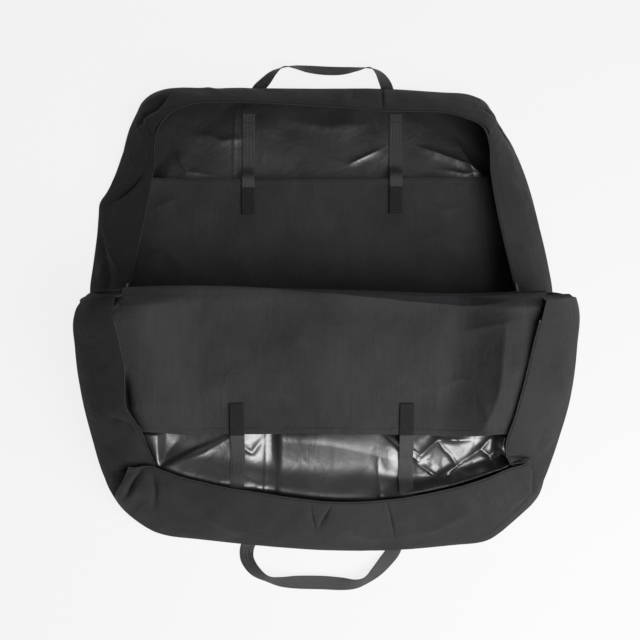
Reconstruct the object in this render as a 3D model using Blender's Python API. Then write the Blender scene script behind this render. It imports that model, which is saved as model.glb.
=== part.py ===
"""Soft travel bag for one bicycle, lying open: two mirrored trays of padded fabric joined at a ridge.

The back tray lies flat on the floor. The base gusset stands on its edge, and the front tray hangs
from the ridge along its top and slopes down to the floor on the other side. Metres, +Z up, +X to
the right and +Y away from the viewer. The origin is the centre of the box round the bag, at the floor.
"""

from math import asin, atan, cos, hypot, radians, sin

import bmesh
import bpy
from mathutils import Matrix, Vector

# Whole bag
base_width = 1.32          # along the ridge
bag_height = 0.70          # ridge to top edge, along a tray
bag_depth = 0.25           # outer face to outer face when closed
touch = 0.0003             # gap that touching pieces keep
running = 0.001            # gap that sliding pieces keep

# Outline of a tray: insets run in from the ends of the base, drops down from the top edge
side_bulge = 0.005         # how far the side's pull point stands outside the base corner
side_pull_height = 0.30
shoulder_inset = 0.08
shoulder_drop = 0.20
corner_pull_inset = 0.13
corner_pull_drop = 0.035
top_inset = 0.28
top_corner_drop = 0.02
crown_pull_inset = 0.46

# Zip line, the free edge of the walls that lean in over a tray
zip_base_inset = 0.120
zip_shoulder_inset = 0.182
zip_shoulder_drop = 0.30
zip_corner_pull_inset = 0.198
zip_corner_pull_drop = 0.165
zip_top_inset = 0.31
zip_top_corner_drop = 0.148
zip_crown_pull_inset = 0.48
zip_top_drop = 0.132

# Layers
shell_thickness = 0.004
padding_thickness = 0.004
lining_thickness = 0.001
lining_inset = 0.009
wall_thickness = 0.005
base_shell_thickness = 0.003
base_board_thickness = 0.003
base_end_margin = 0.010
ridge_radius = 0.005
ridge_drop = 0.004         # the ridge's middle below the closed front tray's outer face

# Zip
tape_width = 0.014
tape_thickness = 0.0016
coil_radius = 0.0025
meeting_gap = 0.001        # each coil's distance from the middle of the closed bag
slider_length = 0.016
slider_tape_side = 0.008
slider_free_side = 0.0055
slider_half_height = 0.0045
slider_bore_gap = 0.0006
slider_slot_half = 0.0026
slider_park = 0.018        # from the start of the back tape to the slider's middle
arch_width = 0.003
arch_wall = 0.0012
arch_length = 0.005
arch_height = 0.0028
pull_thickness = 0.0014
pull_width = 0.010
pull_eye_width = 0.0052
pull_bar = 0.0015
pull_eye_end = 0.0056
pull_length = 0.034

# Wheel pocket
pocket_mouth_drop = 0.305
pocket_margin = 0.034      # from the outline to the pocket's side seam
pocket_bulge = 0.030       # how far the mouth stands off the lining
pocket_shoulder = 0.085    # width of the slope at each side
pocket_thickness = 0.0014
hem_width = 0.006
hem_thickness = 0.0030

# Webbing
webbing_width = 0.038
webbing_thickness = 0.0022
strap_spacing = 0.44
strap_root_drop = 0.111
strap_tab_length = 0.026
strap_overlap = 0.103      # how far a strap reaches past the pocket's mouth over the panel
patch_length = 0.085
patch_inset = 0.002
patch_width = 0.036
patch_thickness = 0.0011
strap_drop_length = 0.035  # from the hem to where the strap lies on the lining
handle_spacing = 0.40
handle_reach = 0.088
handle_leg = 0.022
handle_top_half = 0.165
handle_grip_width = 0.030
handle_thickness = 0.0025
handle_hinge_out = 0.0018
handle_start_out = 0.0004
tail_length = 0.25
groove_depth = 0.0025

# Counts
side_steps = 7
corner_steps = 6
top_steps = 5
coil_sides = 6
ridge_sides = 12
bore_sides = 8

# Worked out from the sizes above
base_half = base_width / 2
shoulder_height = bag_height - shoulder_drop
zip_shoulder_height = bag_height - zip_shoulder_drop
zip_top_height = bag_height - zip_top_drop
pocket_mouth = bag_height - pocket_mouth_drop
strap_root = bag_height - strap_root_drop
strap_end = pocket_mouth - strap_overlap
ridge_height = bag_depth - ridge_drop
ridge_reach = ridge_radius + touch
slope = (asin((ridge_height - touch) / hypot(bag_height, ridge_drop)) - atan(ridge_drop / bag_height))
lining_low = shell_thickness + padding_thickness + 2 * touch
lining_top = lining_low + lining_thickness
zip_depth = bag_depth / 2 - meeting_gap - coil_radius
wall_foot = shell_thickness + touch + wall_thickness / 2
tape_near = coil_radius + tape_thickness / 2 + touch
base_inner = base_board_thickness + lining_thickness + 2 * touch
tray_start = base_inner + running
wall_start = tray_start + running
front_zip_start = wall_start + slider_park + pull_length + running
zip_side_inset = (zip_base_inset + zip_shoulder_inset) / 2

half_edge_points = (
    (base_half, wall_start),
    (base_half + side_bulge, side_pull_height),
    (base_half - shoulder_inset, shoulder_height),
    (base_half - corner_pull_inset, bag_height - corner_pull_drop),
    (base_half - top_inset, bag_height - top_corner_drop),
    (base_half - crown_pull_inset, bag_height),
    (0, bag_height),
)
half_zip_points = (
    (base_half - zip_base_inset, wall_start),
    (base_half - zip_side_inset, (wall_start + zip_shoulder_height) / 2),
    (base_half - zip_shoulder_inset, zip_shoulder_height),
    (base_half - zip_corner_pull_inset, bag_height - zip_corner_pull_drop),
    (base_half - zip_top_inset, bag_height - zip_top_corner_drop),
    (base_half - zip_crown_pull_inset, zip_top_height),
    (0, zip_top_height),
)


def curve_point(points, u):
    """Point of a half outline at u, which runs from 0 at the base to 3 at the middle of the top."""
    part = min(int(u), 2)
    t = u - part
    a, b, c = (Vector(p) for p in points[2 * part:2 * part + 3])
    return a * (1 - t) ** 2 + b * 2 * t * (1 - t) + c * t * t


def around(points, u):
    """Point of the whole outline: u runs from 0 at the right base end to 6 at the left base end."""
    if u <= 3:
        return curve_point(points, u)
    mirrored = curve_point(points, 6 - u)
    return Vector((-mirrored.x, mirrored.y))


def spread(first, last):
    """Stations along the outline between two of them, closer together at the corners."""
    marks = [i / side_steps for i in range(side_steps)]
    marks += [1 + i / corner_steps for i in range(corner_steps)]
    marks += [2 + i / top_steps for i in range(top_steps)]
    marks += [3]
    marks += [6 - u for u in reversed(marks[:-1])]
    return [first] + [u for u in marks if first + 1e-4 < u < last - 1e-4] + [last]


def slope_point(u, back, lift=0):
    """Point on the leaning wall, back metres below the zip line, as (x, v, n)."""
    edge = around(half_edge_points, u)
    rim = around(half_zip_points, u)
    foot = Vector((edge.x, edge.y, wall_foot))
    top = Vector((rim.x, rim.y, zip_depth))
    down = foot - top
    share = 1 if back is None else back / down.length
    point = top + down * share
    return Vector((point.x, point.y, point.z + lift))


def inset_point(u, distance):
    """Point of the outline moved in towards the zip line."""
    edge = around(half_edge_points, u)
    rim = around(half_zip_points, u)
    inward = (rim - edge).normalized() * distance
    return edge + inward


def top_edge_at(x):
    """Height of the outline's top edge where it stands at x."""
    low, high = 2.0, 3.0
    for _ in range(40):
        middle = (low + high) / 2
        if curve_point(half_edge_points, middle).x > abs(x):
            low = middle
        else:
            high = middle
    return curve_point(half_edge_points, low).y


handle_edge = top_edge_at(handle_spacing / 2 - webbing_width / 2)
front_edge_reach = handle_edge * cos(slope) - ridge_drop * sin(slope)
back_reach = handle_edge + handle_hinge_out + handle_reach
front_reach = front_edge_reach + handle_hinge_out + handle_reach
ridge_y = (front_reach - back_reach) / 2


class Back:
    """The tray on the floor: v runs away from the ridge, n up from the outer face."""

    name = "back"
    side = 1

    def at(self, x, v, n):
        return Vector((x, ridge_y + v, n))


class Front:
    """The tray that hangs from the ridge and slopes down towards the viewer."""

    name = "front"
    side = -1

    def at(self, x, v, n):
        out = v * cos(slope) + (n - ridge_drop) * sin(slope)
        up = (n - ridge_drop) * cos(slope) - v * sin(slope)
        return Vector((x, ridge_y - out, ridge_height + up))


def clear_scene():
    for item in list(bpy.data.objects):
        bpy.data.objects.remove(item, do_unlink=True)


def paint(item, color, roughness, metallic=0.0):
    finish = bpy.data.materials.new(item.name + "_finish")
    finish.use_nodes = True
    shader = finish.node_tree.nodes["Principled BSDF"]
    shader.inputs["Base Color"].default_value = (*color, 1)
    shader.inputs["Roughness"].default_value = roughness
    shader.inputs["Metallic"].default_value = metallic
    item.data.materials.append(finish)


looks = {
    "cloth": ((0.030, 0.030, 0.032), 0.75),
    "coated": ((0.055, 0.056, 0.060), 0.32),
    "foam": ((0.10, 0.10, 0.11), 0.95),
    "webbing": ((0.018, 0.018, 0.019), 0.70),
    "nylon": ((0.015, 0.015, 0.016), 0.90),
    "coil": ((0.012, 0.012, 0.012), 0.45),
    "board": ((0.08, 0.08, 0.08), 0.55),
    "zinc": ((0.05, 0.05, 0.055), 0.38, 0.8),
}


def solid(name, verts, faces, look, origin=(0, 0, 0), cutter=False):
    """Object from points and faces, its origin set on a joint's axis where it has one."""
    origin = Vector(origin)
    mesh = bpy.data.meshes.new(name)
    mesh.from_pydata([Vector(v) - origin for v in verts], [], faces)
    work = bmesh.new()
    work.from_mesh(mesh)
    bmesh.ops.recalc_face_normals(work, faces=work.faces)
    bmesh.ops.triangulate(work, faces=list(work.faces))
    work.to_mesh(mesh)
    work.free()
    item = bpy.data.objects.new(name, mesh)
    item.location = origin
    bpy.context.scene.collection.objects.link(item)
    paint(item, *looks[look])
    if cutter:
        item.hide_render = True
        item.display_type = "WIRE"
    return item


def prism(name, low, high, look, **more):
    """Closed solid between two outlines of as many points each."""
    count = len(low)
    faces = [list(range(count - 1, -1, -1)), list(range(count, 2 * count))]
    for i in range(count):
        j = (i + 1) % count
        faces.append([i, j, count + j, count + i])
    return solid(name, list(low) + list(high), faces, look, **more)


def lofted(name, sections, look, **more):
    """Closed solid through rings of points, capped at both ends."""
    count = len(sections[0])
    verts = [p for ring in sections for p in ring]
    faces = [list(range(count)), list(range(len(verts) - 1, len(verts) - 1 - count, -1))]
    for r in range(len(sections) - 1):
        for i in range(count):
            j = (i + 1) % count
            faces.append([r * count + i, r * count + j, (r + 1) * count + j, (r + 1) * count + i])
    return solid(name, verts, faces, look, **more)


def boolean(item, tool, operation):
    change = item.modifiers.new(operation.lower(), "BOOLEAN")
    change.object = tool
    change.operation = operation
    change.solver = "EXACT"


def layer(half, name, outline, low, high, look, **more):
    """Flat sheet of a tray between two heights over its outer face."""
    bottom = [half.at(x, v, low) for x, v in outline]
    top = [half.at(x, v, high) for x, v in outline]
    return prism(name, bottom, top, look, **more)


def inset_outline(distance, start):
    """Outline of a layer that lies inside the walls, closed along the base."""
    points = [inset_point(u, distance) for u in spread(0, 6)]
    points[0].y = start
    points[-1].y = start
    return points


def shell(half):
    """Outer panel: coated cloth on thin foam, with grooves that the handle's sewn tails press into."""
    start = ridge_reach if half.side < 0 else -base_shell_thickness
    panel = layer(half, half.name + "_shell", inset_outline(0, start), 0, shell_thickness, "cloth")
    for sign, place in ((-1, "left"), (1, "right")):
        middle = sign * handle_spacing / 2
        reach = webbing_width / 2 + touch
        tail_start = handle_edge - tail_length
        outline = [
            (middle - reach, tail_start - touch),
            (middle + reach, tail_start - touch),
            (middle + reach, bag_height + webbing_width),
            (middle - reach, bag_height + webbing_width),
        ]
        name = f"{half.name}_groove_{place}"
        cutter = layer(half, name, outline, -groove_depth, groove_depth, "cloth", cutter=True)
        boolean(panel, cutter, "DIFFERENCE")
        tail = [
            (middle - webbing_width / 2, tail_start),
            (middle + webbing_width / 2, tail_start),
            (middle + webbing_width / 2, handle_edge - touch),
            (middle - webbing_width / 2, handle_edge - touch),
        ]
        layer(half, f"{half.name}_handle_tail_{place}", tail, 0, webbing_thickness, "webbing")


def inner_layers(half):
    low = shell_thickness + touch
    outline = inset_outline(lining_inset, tray_start)
    layer(half, half.name + "_padding", outline, low, low + padding_thickness, "foam")
    layer(half, half.name + "_lining", outline, lining_low, lining_top, "coated")


def wall_strip(half, name, first, last, far, near, thickness, look):
    """Stretch of the leaning wall or of its zip tape, from far to near below the zip line."""
    sections = []
    for u in spread(first, last):
        ring = [
            slope_point(u, far, -thickness / 2),
            slope_point(u, near, -thickness / 2),
            slope_point(u, near, thickness / 2),
            slope_point(u, far, thickness / 2),
        ]
        sections.append([half.at(*p) for p in ring])
    return lofted(name, sections, look)


def walls(half):
    """Gusset in three lengths, sewn together where the corners start."""
    near = tape_near + tape_width + touch
    seam = touch / shoulder_height
    for place, first, last in (
        ("right", 0, 1 - seam),
        ("top", 1 + seam, 5 - seam),
        ("left", 5 + seam, 6),
    ):
        wall_strip(half, f"{half.name}_wall_{place}", first, last, None, near, wall_thickness, "cloth")


def zip_start(half):
    """Station where the zip begins: the front one leaves room for the parked sliders."""
    if half.side > 0:
        return 0
    return (front_zip_start - wall_start) / (zip_shoulder_height - wall_start)


def zip_half(half):
    start = zip_start(half)
    far = tape_near + tape_width
    wall_strip(half, half.name + "_zip_tape", start, 6 - start, far, tape_near, tape_thickness, "webbing")
    stations = spread(start, 6 - start)
    middles = [half.at(*slope_point(u, 0)) for u in stations]
    sections = []
    for i, middle in enumerate(middles):
        along = (middles[min(i + 1, len(middles) - 1)] - middles[max(i - 1, 0)]).normalized()
        up = (half.at(0, 0, 1) - half.at(0, 0, 0)).normalized()
        out = along.cross(up).normalized()
        ring = []
        for k in range(coil_sides):
            turn = radians(360 * k / coil_sides)
            ring.append(middle + out * coil_radius * cos(turn) + up * coil_radius * sin(turn))
        sections.append(ring)
    lofted(half.name + "_zip_coil", sections, "coil")


def pocket_height(x, v):
    """Underside of the pocket panel over the outer face: flat on the lining at its seams."""
    side = inset_point(min(v / shoulder_height, 1), pocket_margin).x
    across = min(max((side - abs(x)) / pocket_shoulder, 0), 1)
    along = (v - wall_start) / (pocket_mouth - wall_start)
    return lining_top + touch + pocket_bulge * across * along


def pocket_stations(v):
    """Places across the pocket: its seams, the feet and tops of its side slopes, and the middle."""
    side = inset_point(min(v / shoulder_height, 1), pocket_margin).x
    inner = side - pocket_shoulder
    right = [side, inner, inner / 2]
    return [-x for x in right] + [0] + right[::-1]


def pocket(half):
    """Wheel pocket: a panel sewn along the base and both sides, open towards the top edge."""
    sections = []
    for v in (wall_start, pocket_mouth):
        low = [half.at(x, v, pocket_height(x, v)) for x in pocket_stations(v)]
        top = [half.at(x, v, pocket_height(x, v) + pocket_thickness) for x in pocket_stations(v)]
        sections.append(low + top[::-1])
    lofted(half.name + "_pocket_panel", sections, "cloth")
    sections = []
    for v in (pocket_mouth + touch, pocket_mouth + touch + hem_width):
        height = [pocket_height(x, pocket_mouth) for x in pocket_stations(pocket_mouth)]
        spots = list(zip(pocket_stations(pocket_mouth), height))
        low = [half.at(x, v, n) for x, n in spots]
        top = [half.at(x, v, n + hem_thickness) for x, n in spots]
        sections.append(low + top[::-1])
    lofted(half.name + "_pocket_hem", sections, "cloth")


def band(half, name, middle, width, path, thickness, look, **more):
    """Flat webbing along a path of (v, n) places, its underside on the path."""
    sections = []
    for v, n in path:
        sections.append([
            half.at(middle - width / 2, v, n),
            half.at(middle + width / 2, v, n),
            half.at(middle + width / 2, v, n + thickness),
            half.at(middle - width / 2, v, n + thickness),
        ])
    return lofted(name, sections, look, **more)


def strap_axis(half, middle):
    return half.at(middle, strap_root, lining_top + touch + webbing_thickness / 2)


def straps(half):
    """Two straps that hold the pocket's mouth, each sewn near the top edge and hooked on the panel."""
    for sign, place in ((-1, "left"), (1, "right")):
        middle = sign * strap_spacing / 2
        floor = lining_top + touch
        axis = strap_axis(half, middle)
        tab_start = strap_root + webbing_thickness / 2 + touch
        tab = [(tab_start, floor), (tab_start + strap_tab_length, floor)]
        band(half, f"{half.name}_strap_tab_{place}", middle, webbing_width, tab, webbing_thickness, "webbing")

        def on_panel(v, layers):
            return pocket_height(middle, v) + pocket_thickness + touch + layers * (patch_thickness + touch)

        first = strap_end + patch_inset
        last = first + patch_length
        patch = [(first, on_panel(first, 0)), (last, on_panel(last, 0))]
        name = f"{half.name}_loop_patch_{place}"
        band(half, name, middle, patch_width, patch, patch_thickness, "nylon")
        patch = [(first, on_panel(first, 1)), (last, on_panel(last, 1))]
        name = f"{half.name}_hook_patch_{place}"
        band(half, name, middle, patch_width, patch, patch_thickness, "nylon", origin=axis)
        past_hem = pocket_mouth + touch + hem_width + running
        path = [
            (strap_end, on_panel(strap_end, 2)),
            (past_hem, on_panel(past_hem, 2)),
            (past_hem + strap_drop_length, floor),
            (strap_root, floor),
        ]
        name = f"{half.name}_strap_{place}"
        band(half, name, middle, webbing_width, path, webbing_thickness, "webbing", origin=axis)


def handle(half):
    """Carry handle: a webbing loop that lies on the floor beyond the top edge."""
    outer = handle_spacing / 2 + webbing_width / 2
    inner = handle_spacing / 2 - webbing_width / 2
    lean = (outer - handle_top_half) / (handle_reach - handle_leg)
    grip_inner = handle_reach - handle_grip_width
    inner_top = inner - lean * (grip_inner - handle_leg)
    start = handle_start_out - handle_hinge_out
    right = [
        (outer, start),
        (outer, handle_leg),
        (handle_top_half, handle_reach),
    ]
    inside = [
        (inner_top, grip_inner),
        (inner, handle_leg),
        (inner, start),
    ]
    outline = right + [(-x, y) for x, y in reversed(right)]
    outline += [(-x, y) for x, y in reversed(inside)] + inside
    edge = handle_edge if half.side > 0 else front_edge_reach
    axis_y = ridge_y + half.side * (edge + handle_hinge_out)
    low = [(x, axis_y + half.side * y, 0) for x, y in outline]
    top = [(x, axis_y + half.side * y, handle_thickness) for x, y in outline]
    axis = (0, axis_y, handle_thickness / 2)
    prism(half.name + "_handle", low, top, "webbing", origin=axis)


def base_sheet(name, near, far, low, high, width, look):
    """Upright layer of the base gusset."""
    outline = [(-width / 2, near), (width / 2, near), (width / 2, far), (-width / 2, far)]
    bottom = [(x, ridge_y + y, low) for x, y in outline]
    top = [(x, ridge_y + y, high) for x, y in outline]
    prism(name, bottom, top, look)


def base():
    """Base gusset: outer cloth, a stiffening board and the lining, with the corded ridge on top."""
    low = shell_thickness + touch
    shell_top = ridge_height - ridge_reach
    inner_top = ridge_height - ridge_drop - lining_top - running
    board_far = touch + base_board_thickness
    lining_near = board_far + touch
    base_sheet("base_shell", -base_shell_thickness, 0, low, shell_top, base_width, "cloth")
    board_width = base_width - 2 * base_end_margin
    base_sheet("base_board", touch, board_far, low, inner_top, board_width, "board")
    lining_width = board_width - 2 * base_end_margin
    lining_far = lining_near + lining_thickness
    base_sheet("base_lining", lining_near, lining_far, low, inner_top, lining_width, "coated")
    sections = []
    for x in (-base_half, base_half):
        ring = []
        for k in range(ridge_sides):
            turn = radians(360 * (k + 0.5) / ridge_sides)
            ring.append((x, ridge_y + ridge_radius * cos(turn), ridge_height + ridge_radius * sin(turn)))
        sections.append(ring)
    lofted("ridge_cord", sections, "cloth")


def slider_frame(sign):
    """Middle of a parked slider and its directions: along the zip, up the wall, out of the wall."""
    half = Back()
    base_end = half.at(*slope_point(0, 0))
    shoulder = half.at(*slope_point(1, 0))
    along = (shoulder - base_end).normalized()
    middle = base_end + along * slider_park
    across = (half.at(*slope_point(0.1, 0)) - half.at(*slope_point(0.1, tape_width))).normalized()
    up = (across - along * across.dot(along)).normalized()
    out = along.cross(up).normalized()
    if out.z < 0:
        out = -out
    if sign < 0:
        flip = Matrix.Diagonal((-1, 1, 1))
        middle, along, up, out = flip @ middle, flip @ along, flip @ up, flip @ out
    return middle, along, up, out


def slider(sign, place):
    """Zip slider, open towards the tape, with an arch that carries its pull."""
    middle, along, up, out = slider_frame(sign)
    bore = coil_radius + slider_bore_gap
    profile = [
        (-slider_tape_side, slider_slot_half),
        (-slider_tape_side, slider_half_height),
        (slider_free_side, slider_half_height),
        (slider_free_side, -slider_half_height),
        (-slider_tape_side, -slider_half_height),
        (-slider_tape_side, -slider_slot_half),
    ]
    mouth = radians(180) - asin(min(slider_slot_half / bore, 0.9))
    for k in range(bore_sides + 1):
        turn = -mouth + 2 * mouth * k / bore_sides
        profile.append((bore * cos(turn), bore * sin(turn)))
    low = [middle - along * slider_length / 2 + up * a + out * b for a, b in profile]
    top = [middle + along * slider_length / 2 + up * a + out * b for a, b in profile]
    body = prism(f"zip_slider_{place}", low, top, "zinc", origin=middle)
    seat = slider_half_height - running / 2
    inner_top = slider_half_height + arch_height
    outer_half = arch_length / 2 + arch_wall
    staple = [
        (-outer_half, seat),
        (-outer_half, inner_top + arch_wall),
        (outer_half, inner_top + arch_wall),
        (outer_half, seat),
        (arch_length / 2, seat),
        (arch_length / 2, inner_top),
        (-arch_length / 2, inner_top),
        (-arch_length / 2, seat),
    ]
    low = [middle - up * arch_width / 2 + along * a + out * b for a, b in staple]
    top = [middle + up * arch_width / 2 + along * a + out * b for a, b in staple]
    arch = prism(f"slider_arch_{place}", low, top, "zinc", cutter=True)
    boolean(body, arch, "UNION")
    pull(place, middle, along, up, out)


def pull(place, middle, along, up, out):
    """Pull tab: a flat bar whose eye goes round the slider's arch."""
    axis = middle + out * (slider_half_height + arch_height / 2)
    rows = (-pull_bar / 2, pull_bar / 2, pull_eye_end, pull_length)
    columns = (-pull_width / 2, -pull_eye_width / 2, pull_eye_width / 2, pull_width / 2)
    work = bmesh.new()
    grid = {}
    for i, a in enumerate(rows):
        for j, b in enumerate(columns):
            grid[i, j] = work.verts.new(along * a + up * b - out * pull_thickness / 2)
    faces = []
    for i in range(3):
        for j in range(3):
            if (i, j) != (1, 1):
                faces.append(work.faces.new([grid[i, j], grid[i + 1, j], grid[i + 1, j + 1], grid[i, j + 1]]))
    raised = bmesh.ops.extrude_face_region(work, geom=faces)
    moved = [v for v in raised["geom"] if isinstance(v, bmesh.types.BMVert)]
    bmesh.ops.translate(work, verts=moved, vec=out * pull_thickness)
    bmesh.ops.recalc_face_normals(work, faces=work.faces)
    mesh = bpy.data.meshes.new(f"zip_pull_{place}")
    work.to_mesh(mesh)
    work.free()
    item = bpy.data.objects.new(f"zip_pull_{place}", mesh)
    item.location = axis
    bpy.context.scene.collection.objects.link(item)
    paint(item, *looks["zinc"])


def main():
    clear_scene()
    base()
    for half in (Back(), Front()):
        shell(half)
        inner_layers(half)
        walls(half)
        zip_half(half)
        pocket(half)
        straps(half)
        handle(half)
    slider(1, "right")
    slider(-1, "left")


main()
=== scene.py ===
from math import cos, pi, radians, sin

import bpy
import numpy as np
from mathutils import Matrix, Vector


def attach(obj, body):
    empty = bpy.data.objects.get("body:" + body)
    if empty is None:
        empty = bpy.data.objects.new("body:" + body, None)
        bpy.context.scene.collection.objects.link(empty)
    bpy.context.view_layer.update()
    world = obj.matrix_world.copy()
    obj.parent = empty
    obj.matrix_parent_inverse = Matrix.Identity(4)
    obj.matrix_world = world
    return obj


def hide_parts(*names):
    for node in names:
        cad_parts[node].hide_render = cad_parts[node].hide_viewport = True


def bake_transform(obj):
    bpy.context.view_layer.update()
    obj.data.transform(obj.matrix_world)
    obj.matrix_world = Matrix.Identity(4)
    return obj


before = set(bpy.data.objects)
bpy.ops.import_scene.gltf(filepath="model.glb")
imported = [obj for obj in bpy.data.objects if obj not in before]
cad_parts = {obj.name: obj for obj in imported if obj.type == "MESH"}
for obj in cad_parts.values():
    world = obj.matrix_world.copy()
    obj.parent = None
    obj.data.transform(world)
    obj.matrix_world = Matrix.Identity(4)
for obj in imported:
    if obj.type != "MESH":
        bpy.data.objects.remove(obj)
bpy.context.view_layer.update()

# Looks of the soft bike travel bag that lies open on its back tray. Each cloth piece is drawn in its tray's
# own places: x along the ridge, v away from the ridge and n up from the tray's outer face. Round a tray's
# outline, u runs from 0 at the ridge's right end over 3 at the middle of the top edge to 6 at its left end.

# Places repeated from the part's source
ridge_y = -0.02213
ridge_height = 0.246
ridge_drop = 0.004
slope = radians(20.2207)
wall_start = 0.0066
wall_foot = 0.0068
zip_depth = 0.1215
front_zip_start = 0.0596
lining_top = 0.0096
shell_thickness = 0.004
wall_thickness = 0.005
tape_near = 0.0036
tape_width = 0.014
pocket_line = 0.395        # the mouth of the solid's pockets
pocket_margin = 0.034
pocket_shoulder = 0.085
pocket_bulge = 0.030
pocket_thickness = 0.0014
strap_middle = 0.22
strap_root = 0.589
strap_end = 0.292
webbing_width = 0.038
webbing_thickness = 0.0022
patch_width = 0.036
patch_thickness = 0.0011
handle_middle = 0.20
handle_thickness = 0.0025
tail_start = 0.4457
tail_end = 0.692
base_half = 0.66

# Round the outline
u_crown = 3
u_left = 6

# Layers, seams and stitches
lining_start = 0.0058      # the foam's and the lining's first v
foam_under = 0.0043
foam_top = 0.0081
wall_end = 0.004           # how far the binding and the side walls' ends stop short of the ridge, by u
rim_gap = 0.0030           # the wall's edge behind the zip line
thin_cloth = 0.0006        # half of an unpadded cloth's thickness
hem_back = 0.0045          # the pocket hem's middle line behind the mouth
hem_half = 0.0085
hem_thick = 0.0014
hem_rows = ((0.0035, 0.0012), (0.0100, 0.0006))  # stitch rows: back from the mouth, over the panel
side_seam = 0.006          # the pocket's side stitches in from its edge
wall_rows = (0.0058, 0.0150)  # stitch rows back from the zip line
stitch_over = 0.0021       # stitches over the wall's middle
tape_cover = 0.004         # how far the zip tape reaches under the wall
tooth_pitch = 0.0034
stitch_length = 0.0034
stitch_gap = 0.0016
stitch_radius = 0.00042
stitch_sides = 5

# Thicknesses, dips, radii and stretches
lining_thick = 0.0009
lining_ceiling = 0.084     # the front lining stays under this height
thin_over = 0.0019         # faces of the wall's thin edge, over its middle
thin_under = 0.0010
top_dip = 0.022            # how far the front wall's lengths dip at the corners
side_dip = 0.030
binding_radius = 0.0034
piping_radius = 0.0048
core_radius = 0.0011
stop_radius = 0.0024
pocket_side_end = 0.39
right_lift = 0.082         # how far the front pocket's sides are drawn up
left_lift = 0.060
patch_start = 0.002        # the hook and loop patches and the box of stitches, from the strap's end
patch_end = 0.087
box_start = 0.005
box_end = 0.082
tab_start = 0.0016         # the sewn tab, from the strap's root
tab_end = 0.029

# The solid's edge and zip line on the right half: points (x, v) of three quadratic curves each
half_edge_points = (
    (0.66, 0.0066), (0.665, 0.3), (0.58, 0.5), (0.53, 0.665), (0.38, 0.68), (0.2, 0.7), (0, 0.7),
)
half_zip_points = (
    (0.54, 0.0066), (0.509, 0.2033), (0.478, 0.4), (0.462, 0.535), (0.35, 0.552), (0.18, 0.568), (0, 0.568),
)

# Sections, points across and up: webbing in shares of its half width and its thickness, a tooth in metres
band_section = np.array([
    (-1, 0), (-0.985, 0.36), (-0.93, 0.5), (-0.45, 0.46), (0, 0.5), (0.45, 0.46), (0.93, 0.5), (0.985, 0.36),
    (1, 0), (0.985, -0.36), (0.93, -0.5), (0, -0.46), (-0.93, -0.5), (-0.985, -0.36),
])
tooth_section = np.array([
    (-0.0024, -0.0009), (-0.0016, -0.0019), (0.0008, -0.0021), (0.0022, -0.0012),
    (0.0024, 0.0012), (0.0008, 0.0021), (-0.0016, 0.0019), (-0.0024, 0.0009),
])
band_sides = ((-1, "left"), (1, "right"))

# What differs between the trays, in metres but for the seeds and the shares of the lining's rows
tray_values = {
    "back": dict(outward=1, wall_belly=0.011, wall_seed=31, lining_seed=71, lining_opens=(0.315, 0.365),
                 lining_rows=(0.44, 0.96), pocket_seed=17, pocket_mouth=0.398,
                 pocket_slope=1.15 * pocket_shoulder, panel_start=-0.003, strap_lean=-0.006),
    "front": dict(outward=-1, wall_belly=0.013, wall_seed=11, lining_seed=51, lining_opens=(0.285, 0.335),
                  lining_rows=(0.40, 0.92), pocket_seed=15, pocket_mouth=0.369,
                  pocket_slope=0.85 * pocket_shoulder, panel_start=0.0053, strap_lean=0.004),
}

# How far each tray's edge stands outside the solid's, or with a minus inside it, by u
edge_ease = {
    "back": (
        (0, 0), (0.12, 0.001), (0.25, -0.004), (0.5, -0.011), (0.75, -0.009), (1, -0.006), (1.25, -0.01),
        (1.38, -0.006), (1.5, 0.005), (1.6, 0.017), (1.75, 0.019), (2, 0.011), (2.5, 0.008), (3, 0.004),
        (3.5, 0.01), (4, 0.026), (4.15, 0.036), (4.3, 0.048), (4.42, 0.052), (4.52, 0.048), (4.62, 0.036),
        (4.8, 0.023), (5, 0.01), (5.2, 0.004), (5.31, 0.01), (5.38, 0.02), (5.46, 0.014), (5.56, 0.007),
        (5.75, 0.004), (5.88, 0.006), (6, 0),
    ),
    "front": (
        (0, 0.006), (0.03, 0.011), (0.25, 0.015), (0.5, 0.016), (0.75, 0.012), (1, 0.014), (1.12, 0.016),
        (1.22, 0.011), (1.32, 0.004), (1.42, 0), (1.52, -0.001), (1.62, 0.001), (1.75, 0.005), (2, 0.001),
        (2.5, 0.002), (3, -0.003), (3.5, -0.013), (4, -0.018), (4.25, -0.015), (4.5, -0.013),
        (4.75, -0.005), (5, 0), (5.25, -0.006), (5.5, -0.006), (5.75, -0.006), (5.9, -0.009),
        (5.94, -0.017), (5.97, -0.03), (6, -0.046),
    ),
}
# How far the back tray's zip line stands outside the solid's, by u
back_rim_ease = (
    (0, 0), (0.93, 0), (1.05, 0.004), (1.25, 0.016), (1.5, 0.032), (1.75, 0.024), (2, 0.022), (2.5, 0.016),
    (3, 0.026), (3.5, 0.04), (4, 0.052), (4.25, 0.052), (4.5, 0.04), (4.75, 0.018), (4.95, 0.002), (5.07, 0),
    (6, 0),
)
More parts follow.
